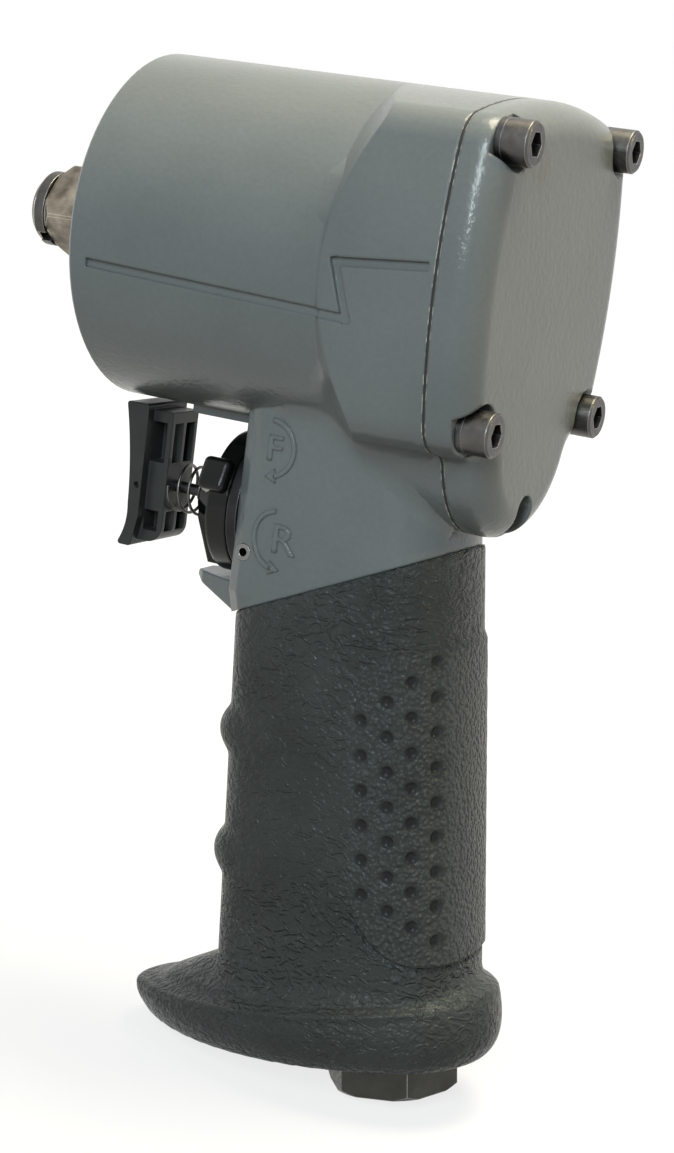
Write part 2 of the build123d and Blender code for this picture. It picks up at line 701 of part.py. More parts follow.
def anvil():
    """Square drive, shank, thrust flange and two lobes half a turn apart."""
    groove = ring_x()
    pilot_x = DRIVE_LENGTH - DRIVE_PILOT
    outline = turned(
        (0, 0),
        (0, DRIVE_CORNER_R),
        (pilot_x, DRIVE_CORNER_R),
        (pilot_x + DRIVE_CORNER_R - DRIVE_PILOT_R, DRIVE_PILOT_R),
        (groove, DRIVE_PILOT_R),
        (groove, RING_GROOVE_R),
        (DRIVE_LENGTH - RING_TIP, RING_GROOVE_R),
        (DRIVE_LENGTH - RING_TIP, DRIVE_PILOT_R),
        (DRIVE_LENGTH, DRIVE_PILOT_R - RING_TIP),
        (DRIVE_LENGTH, 0),
    )
    square = Rot(0, 0, 45 + DRIVE_TURN) * Rectangle(SQUARE, SQUARE)
    body = along_x(square, 0, DRIVE_LENGTH) & outline
    body += rod(SHANK_R, 0, FLANGE_X) + rod(ANVIL_FLANGE_R, FLANGE_X, FLANGE_X - ANVIL_FLANGE)
    body += rod(ANVIL_CORE_R, FLANGE_X, CAGE_BACK_X + AIR) + rod(PILOT_R, CAGE_X, CAGE_BACK_X - PILOT)
    for x, angle in ((FRONT_HAMMER_X, 90), (REAR_HAMMER_X, -90)):
        lobe = sector(LOBE_R, LOBE_HALF_ANGLE, angle)
        body += along_x(lobe, x - HAMMER_LENGTH + AIR, x - AIR)
    return body


def friction_ring():
    """Split ring that holds a socket on the square."""
    ring = Circle(RING_R) - Circle(RING_BORE_R)
    ring -= Rot(0, 0, DRIVE_TURN - 45) * Pos(RING_R, 0) * Rectangle(RING_R, RING_GAP)
    body = along_x(ring, ring_x() + AIR / 2, ring_x() + AIR / 2 + RING_WIDTH)
    return body


def ring_cushion():
    """Rubber ring under the friction ring."""
    wire_r = (RING_BORE_R - RING_GROOVE_R) / 2 - SEAT
    middle = (RING_BORE_R + RING_GROOVE_R) / 2
    return Pos(ring_x() + (RING_WIDTH + AIR) / 2, 0, 0) * Rot(0, 90, 0) * Torus(middle, wire_r)


def spline(clearance):
    """Toothed outline of the rotor's drive end."""
    outline = Circle(SPLINE_R + clearance)
    width = 2 * pi * SPLINE_R / SPLINE_TEETH / 2
    for tooth in range(SPLINE_TEETH):
        turn = Rot(0, 0, 360 * tooth / SPLINE_TEETH)
        reach = SPLINE_R + SPLINE_TOOTH + clearance
        outline += turn * Pos(reach / 2, 0) * Rectangle(reach, width + 2 * clearance)
    return outline


def hammer_cage():
    """Carrier of the two hammers: two plates, two webs and a splined hub."""
    front_hole = LOBE_R + 2 * AIR
    body = tube(CAGE_R, front_hole, CAGE_X, CAGE_X - CAGE_PLATE)
    body += rod(CAGE_R, CAGE_BACK_X, CAGE_HUB_X) + rod(CAGE_HUB_R, CAGE_HUB_X, CAGE_HUB_X - CAGE_HUB)
    for angle in (0, 180):
        web = sector(CAGE_R, WEB_HALF_ANGLE, angle) - Circle(CAGE_R - WEB)
        body += along_x(web, CAGE_BACK_X, CAGE_X - CAGE_PLATE)
    body -= rod(PILOT_R + RUN, CAGE_BACK_X, CAGE_BACK_X - PILOT - AIR)
    body -= along_x(spline(SEAT), CAGE_HUB_X - CAGE_HUB, CAGE_BACK_X - PILOT - AIR)
    for side in (1, -1):
        body -= rod(HAMMER_PIN_R + SEAT, CAGE_X, CAGE_HUB_X, 0, side * HAMMER_PIN_OUT)
    return body


def hammer_pins():
    """Two pins that the hammers rock on."""
    return Compound([rod(HAMMER_PIN_R, CAGE_X, CAGE_HUB_X, 0, side * HAMMER_PIN_OUT) for side in (1, -1)])


def hammer(x, side):
    """Ring hammer that rocks on the pin on one side and has a slot for the other pin."""
    outline = Circle(HAMMER_R) - Circle(HAMMER_BORE_R)
    for angle in (0, 180):
        outline += sector(HAMMER_R, LUG_HALF_ANGLE, angle) - Circle(LUG_R)
    outline -= Pos(0, side * HAMMER_PIN_OUT) * Circle(HAMMER_PIN_R + RUN)
    swing = 2 * HAMMER_PIN_OUT * sin(radians(ROCK))
    slot_r = HAMMER_PIN_R + AIR
    outline -= Pos(0, -side * HAMMER_PIN_OUT) * SlotOverall(2 * (swing + slot_r), 2 * slot_r)
    return along_x(outline, x - HAMMER_LENGTH, x)


def bearing(bore_r, outer_r, ball_r, x):
    """Outer race, inner race and balls of a ball bearing whose front is at x."""
    pitch = (bore_r + outer_r) / 2
    middle = x - BEARING / 2
    groove = Pos(middle, 0, 0) * Rot(0, 90, 0) * Torus(pitch, ball_r + BALL_PLAY)
    outer = tube(outer_r - SEAT, pitch + ball_r / 2, x - BEARING, x) - groove
    inner = tube(pitch - ball_r / 2, bore_r + SEAT, x - BEARING, x) - groove
    balls = []
    for ball in range(BALLS):
        angle = 2 * pi * ball / BALLS
        balls.append(Pos(middle, pitch * cos(angle), pitch * sin(angle)) * Sphere(ball_r))
    return outer, inner, Compound(balls)


def dowel_hole(x_from, x_to):
    """Cutter for the pin that keeps the motor from turning."""
    return rod(DOWEL_R + SEAT, x_from, x_to, 0, -DOWEL_OUT)


def motor_cylinder():
    """Cylinder with a raised bore and two air ports."""
    body = rod(CAVITY_R - SEAT, REAR_PLATE_X, CYLINDER_X)
    body -= rod(BORE_R, REAR_PLATE_X, CYLINDER_X, 0, BORE_RISE)
    body -= dowel_hole(REAR_PLATE_X, CYLINDER_X)
    for port in air_ports():
        body -= port
    return body


def front_end_plate():
    """Front wall of the motor, with its bearing seat open to the front."""
    body = rod(CAVITY_R - SEAT, CYLINDER_X, FRONT_PLATE_X)
    body -= rod(FRONT_BEARING_R, FRONT_BEARING_X - BEARING, FRONT_PLATE_X)
    body -= rod(FRONT_SHAFT_R + AIR, CYLINDER_X, FRONT_PLATE_X)
    body -= dowel_hole(CYLINDER_X, CYLINDER_X + DOWEL_REACH)
    return body


def rear_end_plate():
    """Rear wall of the motor, with its bearing seat open to the rear."""
    body = rod(CAVITY_R - SEAT, COVER_X, REAR_PLATE_X)
    body -= rod(REAR_BEARING_R, COVER_X, REAR_BEARING_X)
    body -= rod(REAR_SHAFT_R + AIR, REAR_BEARING_X, REAR_PLATE_X)
    body -= dowel_hole(REAR_PLATE_X, REAR_PLATE_X - DOWEL_REACH)
    return body


def cylinder_dowel():
    """Pin through the cylinder into both end plates."""
    return rod(DOWEL_R, REAR_PLATE_X - DOWEL_REACH, CYLINDER_X + DOWEL_REACH, 0, -DOWEL_OUT)


def rotor():
    """Slotted rotor with a bearing seat at each end and a splined nose."""
    body = rod(ROTOR_R, REAR_PLATE_X + AIR, CYLINDER_X - AIR)
    body += rod(FRONT_SHAFT_R, CYLINDER_X - AIR, FRONT_PLATE_X)
    body += along_x(spline(0), FRONT_PLATE_X, CAGE_BACK_X - PILOT - 2 * AIR)
    body += rod(REAR_SHAFT_R, REAR_PLATE_X + AIR, REAR_BEARING_X - BEARING)
    for slot in vane_boxes(RUN, ROTOR_R + VANE):
        body -= slot
    return body


def vane_boxes(clearance, reach):
    """Flat radial blocks, one for each vane."""
    boxes = []
    inner = ROTOR_R - VANE_DEPTH - clearance
    for vane in range(VANES):
        half = VANE / 2 + clearance
        box = block(REAR_PLATE_X + AIR, CYLINDER_X - AIR, inner, reach, -half, half)
        boxes.append(Rot(360 * vane / VANES, 0, 0) * box)
    return boxes


def grip_sleeve():
    """Rubber grip with two finger ridges and a foot flange."""
    body = handle_bar(0, -NECK_TOP, FOOT_CREST)
    for down in BUMPS:
        ridge = []
        for step, extra in ((BUMP_HALF, -BUMP / 2), (0, BUMP), (-BUMP_HALF, -BUMP / 2)):
            section = grip_section(down + step, BUMP / 4, extra + BUMP / 4)
            ridge.append(HANDLE.offset(-down - step) * section)
        body += loft(ridge)
    body += foot()
    body -= above_grip()
    body -= handle_bar(GRIP_WALL, -NECK_TOP, CORE_DOWN)
    body -= down_handle(foot_recess(0), CORE_DOWN, FOOT_BOTTOM)
    return body


def foot_oval(shrink):
    """Outline of the foot flange."""
    return oval(
        FOOT_FRONT - shrink,
        shrink - FOOT_REAR,
        FOOT_HALF - shrink,
        FOOT_FRONT_R - shrink,
        FOOT_REAR_R - shrink,
    )


def foot():
    """Flange at the bottom of the grip with a pointed front and a crest that tilts down to it."""
    flare = FOOT_DRAFT / 4
    neck_half = GRIP_HALF - flare
    top = oval(
        GRIP_FRONT + GRIP_FLARE * FOOT_TOP - flare,
        flare - GRIP_REAR,
        neck_half,
        FOOT_FRONT_R,
        neck_half - FOOT_DRAFT / 3,
    )
    crest = HANDLE.offset(-FOOT_CREST) * Rot(0, FOOT_TILT, 0) * foot_oval(FOOT_CREST_IN)
    belly = HANDLE.offset(-FOOT_BELLY) * foot_oval(0)
    bottom = HANDLE.offset(-FOOT_BOTTOM) * foot_oval(FOOT_DRAFT)
    skirt = loft([crest, HANDLE.offset(-FOOT_TOP) * top])
    return skirt + loft([bottom, belly, crest])


def foot_recess(clearance):
    """Outline of the opening under the foot, where the exhaust plate sits."""
    return foot_oval(FOOT_DRAFT + GRIP_WALL + clearance)


def exhaust_plate():
    """Plate under the foot with exhaust slots in front of the inlet."""
    body = down_handle(foot_recess(PLATE_FIT), CORE_DOWN, CORE_DOWN + EXHAUST_PLATE)
    body -= handle_rod(INLET_R + BUSHING_FIT, -INLET_BACK, CORE_DOWN, CORE_DOWN + EXHAUST_PLATE)
    for slot in range(EXHAUST_SLOTS):
        forward = EXHAUST_FRONT + (slot - (EXHAUST_SLOTS - 1) / 2) * 2 * EXHAUST_SLOT
        outline = Pos(forward, 0) * Rot(0, 0, 90) * SlotOverall(2 * EXHAUST_R - EXHAUST_SLOT, EXHAUST_SLOT)
        body -= down_handle(outline, CORE_DOWN, CORE_DOWN + EXHAUST_PLATE)
    return body


def exhaust_muffler():
    """Sintered plug in the exhaust bore."""
    return handle_rod(EXHAUST_R - SEAT, EXHAUST_FRONT, MUFFLER_TOP, CORE_DOWN)


def inlet_bushing():
    """Hexagon air inlet with a pipe thread bore."""
    plate_bottom = CORE_DOWN + EXHAUST_PLATE
    hexagon = RegularPolygon(HEX_FLATS / 2, 6, major_radius=False, rotation=HEX_TURN)
    hexagon = Pos(-INLET_BACK, 0) * hexagon
    corner_r = HEX_FLATS / 2 / cos(radians(30))
    cap = Polyline(
        (0, -plate_bottom),
        (corner_r + HEX_ROUND, -plate_bottom),
        (corner_r + HEX_ROUND / 4, HEX_ROUND - HEX_BOTTOM),
        (corner_r - HEX_ROUND, -HEX_BOTTOM),
        (0, -HEX_BOTTOM),
        close=True,
    )
    cap = revolve(Plane.XZ * make_face(cap), Axis.Z)
    body = down_handle(hexagon, plate_bottom, HEX_BOTTOM) & (HANDLE.location * Pos(-INLET_BACK, 0, 0) * cap)
    body += handle_rod(INLET_R - SEAT, -INLET_BACK, BUSHING_TOP, plate_bottom)
    body -= handle_rod(THREAD_R, -INLET_BACK, HEX_BOTTOM - THREAD_LENGTH, HEX_BOTTOM)
    body -= handle_rod(AIRWAY_R, -INLET_BACK, BUSHING_TOP, HEX_BOTTOM)
    groove = Pos(-INLET_BACK, 0) * (Circle(INLET_R) - Circle(INLET_R - 2 * SEAL_WIRE_R))
    body -= down_handle(groove, BUSHING_SEAL_DOWN - SEAL_WIRE_R, BUSHING_SEAL_DOWN + SEAL_WIRE_R)
    return body


def inlet_seal():
    """Rubber ring in the bushing's groove."""
    ring = Torus(INLET_R - SEAL_WIRE_R - SEAT, SEAL_WIRE_R - 2 * SEAT)
    return HANDLE.location * Pos(-INLET_BACK, 0, -BUSHING_SEAL_DOWN) * ring


def inlet_screen():
    """Perforated thimble on top of the bushing."""
    body = handle_rod(SCREEN_R, -INLET_BACK, SCREEN_DOWN, BUSHING_TOP)
    body -= handle_rod(SCREEN_R - SCREEN_WALL, -INLET_BACK, SCREEN_DOWN + SCREEN_WALL, BUSHING_TOP)
    for circle, count in ((0, 1), (1, 6), (2, 12)):
        for hole in range(count):
            angle = 2 * pi * hole / count
            out = circle * SCREEN_R / 3
            place = Pos(out * cos(angle) - INLET_BACK, out * sin(angle))
            body -= down_handle(place * Circle(SCREEN_HOLE_R), SCREEN_DOWN, SCREEN_DOWN + SCREEN_WALL)
    return body


def throttle_seat():
    """Seat ring of the tilt valve."""
    ring = Pos(-INLET_BACK, 0) * (Circle(INLET_R - SEAT) - Circle(SEAT_BORE_R))
    return down_handle(ring, THROTTLE_DOWN - SEAT_LENGTH, THROTTLE_DOWN)


def throttle_valve():
    """Tilt valve: a head under the seat and a stem up to the trigger axis."""
    head_top = THROTTLE_DOWN + AIR / 3
    body = handle_rod(THROTTLE_R, -INLET_BACK, head_top, head_top + THROTTLE_HEAD)
    return body + handle_rod(THROTTLE_STEM_R, -INLET_BACK, -STEM_UP - THROTTLE_STEM_R, head_top)


def throttle_spring():
    """Spring under the tilt valve's head."""
    top = THROTTLE_DOWN + AIR / 3 + THROTTLE_HEAD
    spring = coil("throttle_spring", THROTTLE_R - SPRING_WIRE, SPRING_WIRE, 4, SCREEN_DOWN - top)
    return HANDLE.location * Pos(-INLET_BACK, 0, -SCREEN_DOWN) * spring


def valve_sleeve():
    """Fixed sleeve of the reverse valve, with seal grooves and ports."""
    back = DIAL_SEAT_X - SLEEVE_LENGTH
    body = tube(SLEEVE_R - SEAT, SLEEVE_R - SLEEVE_WALL, back, DIAL_SEAT_X, 0, TRIGGER_Z)
    for place in SEAL_PLACES:
        x = DIAL_SEAT_X - place
        body -= tube(SLEEVE_R, SLEEVE_R - 2 * SEAL_WIRE_R, x - SEAL_WIRE_R, x + SEAL_WIRE_R, 0, TRIGGER_Z)
    body += tube(DIAL_R, SLEEVE_R - SLEEVE_WALL, DIAL_SEAT_X, DIAL_SEAT_X + SLEEVE_FLANGE, 0, TRIGGER_Z)
    body -= rod(DETENT_R + RUN, DIAL_SEAT_X, DIAL_BACK_X, 0, TRIGGER_Z + DETENT_RISE)
    body -= cross_rod(VALVE_PIN_R + SEAT, DIAL_SEAT_X - VALVE_PIN_BACK, TRIGGER_Z - VALVE_PIN_DROP, GRIP_HALF)
    for port in air_ports():
        body -= port
    return body - handle_rod(EXHAUST_R / 2, EXHAUST_FRONT, -EXHAUST_TOP, 0)


def sleeve_seals():
    """Two rubber rings on the valve sleeve."""
    rings = []
    for place in SEAL_PLACES:
        ring = Torus(SLEEVE_R - SEAL_WIRE_R - SEAT, SEAL_WIRE_R - 2 * SEAT)
        rings.append(Pos(DIAL_SEAT_X - place, 0, TRIGGER_Z) * Rot(0, 90, 0) * ring)
    return Compound(rings)


def reverse_valve():
    """Rotary valve with a groove for its retaining pin and a bore for the trigger stem."""
    body = rod(VALVE_R, DIAL_SEAT_X - VALVE_LENGTH, DIAL_BACK_X, 0, TRIGGER_Z)
    body += rod(VALVE_TANG_R, DIAL_BACK_X, DIAL_BACK_X + VALVE_TANG, 0, TRIGGER_Z)
    groove_x = DIAL_SEAT_X - VALVE_PIN_BACK
    half = VALVE_PIN_R + AIR
    body -= tube(SLEEVE_R, VALVE_PIN_DROP - VALVE_PIN_R - AIR, groove_x - half, groove_x + half, 0, TRIGGER_Z)
    return body - rod(STEM_R + RUN, DIAL_SEAT_X - VALVE_LENGTH, DIAL_FRONT_X, 0, TRIGGER_Z)


def valve_pin():
    """Hollow spring pin across the neck that keeps the valve in."""
    x = DIAL_SEAT_X - VALVE_PIN_BACK
    z = TRIGGER_Z - VALVE_PIN_DROP
    return cross_rod(VALVE_PIN_R, x, z, VALVE_PIN_HALF) - cross_rod(VALVE_PIN_BORE_R, x, z, VALVE_PIN_HALF)


def detent_ball():
    """Ball that clicks into the back of the dial."""
    x = DIAL_BACK_X - DETENT_R + DETENT_PROUD
    return Pos(x, 0, TRIGGER_Z + DETENT_RISE) * Sphere(DETENT_R)


def detent_spring():
    """Spring behind the detent ball."""
    ball_back = DIAL_BACK_X - 2 * DETENT_R + DETENT_PROUD
    back = DIAL_SEAT_X - DETENT_DEPTH
    wire = SPRING_WIRE / 2
    spring = coil("detent_spring", DETENT_R - wire, wire, 4, ball_back - back)
    return Pos(back, 0, TRIGGER_Z + DETENT_RISE) * Rot(0, 90, 0) * spring


def reverse_dial():
    """Dial with a disc, a coned hub, a lever lobe below and a finger knob on each side."""
    hub = Cone(DIAL_HUB_R, DIAL_HUB_TIP_R, DIAL_LEVER)
    body = rod(DIAL_R, DIAL_BACK_X, DIAL_FACE_X)
    body += Pos(DIAL_FACE_X + DIAL_LEVER / 2, 0, 0) * Rot(0, 90, 0) * hub
    body += side_profile(
        DIAL_LOBE_HALF,
        (DIAL_FACE_X, 0),
        (DIAL_FRONT_X, 0),
        (DIAL_FRONT_X, -DIAL_LOBE / 3),
        (DIAL_FACE_X + DIAL_LEVER / 2, -DIAL_LOBE),
        (DIAL_FACE_X, -DIAL_LOBE),
    )
    knob_back = DIAL_BACK_X + AIR
    for side in (0, 180):
        inner = DIAL_HUB_R - KNOB_ROUND
        knob = block(knob_back, DIAL_FACE_X + KNOB_FRONT, inner, KNOB_OUT, -KNOB_HALF, KNOB_HALF)
        knob = fillet(knob.edges(), KNOB_ROUND)
        body += Rot(KNOB_TILT + side, 0, 0) * knob
    body -= rod(VALVE_TANG_R + SEAT, DIAL_BACK_X, DIAL_BACK_X + VALVE_TANG)
    body -= rod(STEM_R + RUN, DIAL_BACK_X, DIAL_FRONT_X)
    track = Pos(DIAL_BACK_X - DETENT_R + DETENT_PROUD, 0, 0) * Rot(0, 90, 0)
    body -= track * Torus(DETENT_RISE, DETENT_R + AIR / 2)
    return Pos(0, 0, TRIGGER_Z) * body


def trigger():
    """Finger plate, hollowed in front, with a block behind it that is open at the back and the left."""
    hollow_x = TRIGGER_X - TRIGGER_HOLLOW
    top = (TRIGGER_X, TRIGGER_UP)
    deepest = (hollow_x, -TRIGGER_DOWN / 3)
    tip = (TRIGGER_X - TRIGGER_HOOK, -TRIGGER_DOWN)
    heel = (TRIGGER_PLATE_X + TRIGGER_RIB, -TRIGGER_DOWN)
    plate_top = (TRIGGER_PLATE_X, TRIGGER_UP)
    outline = [
        ThreePointArc(top, (hollow_x + TRIGGER_HOLLOW / 6, TRIGGER_DOWN / 4), deepest),
        ThreePointArc(deepest, (hollow_x + TRIGGER_HOLLOW / 6, -0.75 * TRIGGER_DOWN), tip),
        Polyline(tip, heel, (TRIGGER_PLATE_X, -TRIGGER_DOWN / 2), plate_top, top),
    ]
    body = extrude(Plane.XZ * make_face(outline), TRIGGER_HALF, both=True)
    body = fillet(body.edges().filter_by(Axis.Y), TRIGGER_RIB / 2)
    rear = block(
        TRIGGER_BACK_X,
        TRIGGER_PLATE_X + TRIGGER_RIB,
        -TRIGGER_BLOCK_HALF,
        TRIGGER_BLOCK_HALF,
        TRIGGER_RIB - TRIGGER_DOWN,
        TRIGGER_UP - TRIGGER_RIB,
    )
    low_edge = rear.edges().filter_by(Axis.Y).group_by(Axis.X)[0].sort_by(Axis.Z)[0]
    body += fillet(low_edge, TRIGGER_BLOCK_ROUND)
    upper = (TRIGGER_BOSS_R, TRIGGER_UP - 3 * TRIGGER_RIB)
    lower = (3 * TRIGGER_RIB - TRIGGER_DOWN, -TRIGGER_BOSS_R)
    web = TRIGGER_RIB / 2
    inside = TRIGGER_BLOCK_HALF - TRIGGER_RIB
    for low, high in (upper, lower):
        for side in (1, -1):
            near, far = sorted((side * web, side * inside))
            body -= block(TRIGGER_BACK_X, TRIGGER_PLATE_X, near, far, low, high)
        body -= block(TRIGGER_BACK_X + TRIGGER_RIB, TRIGGER_PLATE_X, web, TRIGGER_HALF, low, high)
    body -= rod(STEM_R + SEAT, TRIGGER_BACK_X, hollow_x - TRIGGER_SKIN)
    body -= cross_rod(CROSS_PIN_R + SEAT, TRIGGER_X - CROSS_PIN_BACK, 0, TRIGGER_HALF)
    return Pos(0, 0, TRIGGER_Z) * body


def trigger_stem():
    """Push rod from the trigger through the dial to the tilt valve."""
    body = rod(STEM_R, TRIGGER_X - TRIGGER_HOLLOW - TRIGGER_SKIN, STEM_END_X, 0, TRIGGER_Z)
    return body - cross_rod(CROSS_PIN_R + SEAT, TRIGGER_X - CROSS_PIN_BACK, TRIGGER_Z, TRIGGER_HALF)


def trigger_pin():
    """Cross pin, trigger to stem."""
    return cross_rod(CROSS_PIN_R, TRIGGER_X - CROSS_PIN_BACK, TRIGGER_Z, TRIGGER_HALF - SEAL_WIRE_R)


def trigger_spring():
    """Return spring round the stem, between the dial and the trigger."""
    spring = coil("trigger_spring", SPRING_R, SPRING_WIRE, SPRING_TURNS, TRIGGER_BACK_X - DIAL_FRONT_X)
    return Pos(DIAL_FRONT_X, 0, TRIGGER_Z) * Rot(0, 90, 0) * spring


def main():
    """Write every piece to its own file."""
    front_outer, front_inner, front_balls = bearing(
        FRONT_SHAFT_R, FRONT_BEARING_R, FRONT_BALL_R, FRONT_BEARING_X
    )
    rear_outer, rear_inner, rear_balls = bearing(REAR_SHAFT_R, REAR_BEARING_R, REAR_BALL_R, REAR_BEARING_X)
    pieces = {
        "housing": housing(),
        "rear_cover": rear_cover(),
        "cover_gasket": cover_gasket(),
        "cover_screws": cover_screws(),
        "cover_lock_washers": cover_lock_washers(),
        "anvil_bushing": anvil_bushing(),
        "nose_seal": nose_seal(),
        "anvil": anvil(),
        "friction_ring": friction_ring(),
        "ring_cushion": ring_cushion(),
        "hammer_cage": hammer_cage(),
        "hammer_pins": hammer_pins(),
        "front_hammer": hammer(FRONT_HAMMER_X, 1),
        "rear_hammer": hammer(REAR_HAMMER_X, -1),
        "front_bearing_outer_race": front_outer,
        "front_bearing_inner_race": front_inner,
        "front_bearing_balls": front_balls,
        "rear_bearing_outer_race": rear_outer,
        "rear_bearing_inner_race": rear_inner,
        "rear_bearing_balls": rear_balls,
        "motor_cylinder": motor_cylinder(),
        "front_end_plate": front_end_plate(),
        "rear_end_plate": rear_end_plate(),
        "cylinder_dowel": cylinder_dowel(),
        "rotor": rotor(),
        "rotor_vanes": Compound(vane_boxes(0, ROTOR_R)),
        "grip_sleeve": grip_sleeve(),
        "exhaust_plate": exhaust_plate(),
        "exhaust_muffler": exhaust_muffler(),
        "inlet_bushing": inlet_bushing(),
        "inlet_seal": inlet_seal(),
        "inlet_screen": inlet_screen(),
        "throttle_seat": throttle_seat(),
        "throttle_valve": throttle_valve(),
        "throttle_spring": throttle_spring(),
        "valve_sleeve": valve_sleeve(),
        "sleeve_seals": sleeve_seals(),
        "reverse_valve": reverse_valve(),
        "valve_pin": valve_pin(),
        "detent_ball": detent_ball(),
        "detent_spring": detent_spring(),
        "reverse_dial": reverse_dial(),
        "trigger": trigger(),
        "trigger_stem": trigger_stem(),
        "trigger_pin": trigger_pin(),
        "trigger_spring": trigger_spring(),
    }
    os.makedirs("parts", exist_ok=True)
    for name, piece in pieces.items():
        export_step(piece, f"parts/{name}.step")


main()
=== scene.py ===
# %% [markdown]
# # An air impact wrench, dressed in Blender
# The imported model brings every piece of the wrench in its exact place, so this lesson never moves one. It
# gives each piece the finish that the real one has, and models what a solid can't show: the moulded rubber
# grip, the wound springs, the soft run-outs of the casting and the small marks cast into the neck.

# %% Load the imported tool
import json
from math import cos, hypot, pi, radians, sin, tan

import bpy
from mathutils import Matrix, Vector
from mathutils.bvhtree import BVHTree
from mathutils.kdtree import KDTree

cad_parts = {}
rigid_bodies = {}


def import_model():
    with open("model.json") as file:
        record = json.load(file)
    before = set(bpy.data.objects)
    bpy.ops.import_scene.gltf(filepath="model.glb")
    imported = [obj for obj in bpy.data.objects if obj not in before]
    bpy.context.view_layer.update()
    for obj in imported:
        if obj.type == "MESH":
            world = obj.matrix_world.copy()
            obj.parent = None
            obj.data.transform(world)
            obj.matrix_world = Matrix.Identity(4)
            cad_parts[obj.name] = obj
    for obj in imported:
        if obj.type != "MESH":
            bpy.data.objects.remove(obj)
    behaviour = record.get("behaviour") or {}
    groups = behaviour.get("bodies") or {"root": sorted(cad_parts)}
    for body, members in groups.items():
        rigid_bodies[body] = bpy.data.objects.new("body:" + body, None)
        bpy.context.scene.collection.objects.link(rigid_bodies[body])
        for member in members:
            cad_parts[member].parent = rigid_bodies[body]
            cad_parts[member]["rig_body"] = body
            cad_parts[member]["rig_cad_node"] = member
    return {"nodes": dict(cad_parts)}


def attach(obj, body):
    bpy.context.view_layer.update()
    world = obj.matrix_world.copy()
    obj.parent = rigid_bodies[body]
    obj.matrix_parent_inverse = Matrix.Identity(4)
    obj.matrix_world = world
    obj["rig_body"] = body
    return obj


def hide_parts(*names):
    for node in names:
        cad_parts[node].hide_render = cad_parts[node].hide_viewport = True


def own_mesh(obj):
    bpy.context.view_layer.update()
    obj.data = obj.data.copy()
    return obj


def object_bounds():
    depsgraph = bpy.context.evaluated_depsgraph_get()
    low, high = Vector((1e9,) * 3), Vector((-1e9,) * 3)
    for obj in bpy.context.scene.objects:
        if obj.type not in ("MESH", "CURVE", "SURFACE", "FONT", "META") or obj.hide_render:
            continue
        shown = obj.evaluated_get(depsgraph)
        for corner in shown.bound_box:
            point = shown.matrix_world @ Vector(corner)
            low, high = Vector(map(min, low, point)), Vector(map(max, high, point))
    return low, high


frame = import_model()
nodes = frame["nodes"]
cad_low, cad_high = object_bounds()
MM = 0.001  # sizes are in millimetres unless a comment says metres, and this turns them into metres
print("pieces loaded:", len(nodes), "box in mm:", [round(x / MM, 1) for x in cad_high - cad_low])

# %% [markdown]
# ## A few working habits
# Blender's operators act on whatever is selected, and the loaded pieces all start selected. So every step
# picks its own object first. A modifier stays live until it is applied, and the finished piece should be a
# plain mesh at the origin, so each piece is settled at the end.

# %% Helpers for picking, editing and settling a piece
WELD = 0.002  # points nearer to each other than this are one, in millimetres


def pick(piece):
    """Select one object and nothing else."""
    bpy.ops.object.select_all(action="DESELECT")
    piece.select_set(True)
    bpy.context.view_layer.objects.active = piece


def edit_all(piece):
    """Enter edit mode with all of a piece selected."""
    pick(piece)
    bpy.ops.object.mode_set(mode="EDIT")
    bpy.ops.mesh.select_all(action="SELECT")


def end_edit():
    """Go back to object mode."""
    bpy.ops.object.mode_set(mode="OBJECT")


def settle(piece):
    """Apply every modifier of a piece, in order, and its place and turn."""
    pick(piece)
    for modifier in list(piece.modifiers):
        bpy.ops.object.modifier_apply(modifier=modifier.name)
    bpy.ops.object.transform_apply(location=True, rotation=True, scale=True)


def select_faces(piece, test):
    """Select the faces that pass a test, and leave the piece in edit mode."""
    pick(piece)
    bpy.ops.object.mode_set(mode="EDIT")
    bpy.ops.mesh.select_mode(type="FACE")
    bpy.ops.mesh.select_all(action="DESELECT")
    end_edit()
    for face in piece.data.polygons:
        face.select = test(face)
    bpy.ops.object.mode_set(mode="EDIT")


def join(piece, others):
    """Join other objects into a piece."""
    pick(piece)
    for other in others:
        other.select_set(True)
    bpy.ops.object.join()


def copy_of(node, name):
    """A free copy of a loaded piece, its loose triangles merged into one skin."""
    pick(nodes[node])
    bpy.ops.object.duplicate()
    piece = bpy.context.object
    piece.name = name
    bpy.ops.object.parent_clear(type="CLEAR_KEEP_TRANSFORM")
    del piece["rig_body"]
    del piece["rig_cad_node"]
    edit_all(piece)
    bpy.ops.mesh.customdata_custom_splitnormals_clear()
    bpy.ops.mesh.remove_doubles(threshold=WELD * MM)
    end_edit()
    return piece


def triangles(piece):
    """How many triangles a piece has."""
    return sum(len(face.vertices) - 2 for face in piece.data.polygons)


# %% [markdown]
# ## The casting's soft run-outs
# On the real casting the square screw shoulder, the drum and the neck flow into each other in wide hollows,
# where the solid has plain creases. Fillets could be drawn one by one, but these hollows fade away along
# their length. Smoothing a dense copy fills hollows and draws edges in, so a smoothed copy stands outside
# the casting just where a run-out is missing. The bores are plugged first, so that the copy is one lump.

# %% Plug a copy of the casting
PLUG_SIDES = 48
PLUGS = [  # name, radius, one end, other end
    ("case_plug", 29.5, (-85.7, 0, 0), (-15, 0, 0)),
    ("valve_plug", 8.2, (-66, 0, -48.5), (-43.9, 0, -48.5)),
    ("inlet_plug", 8.4, (-82.2, 0, -139), (-69.4, 0, -48)),
    ("exhaust_plug", 6.4, (-66.6, 0, -139), (-54.2, 0, -51)),
]


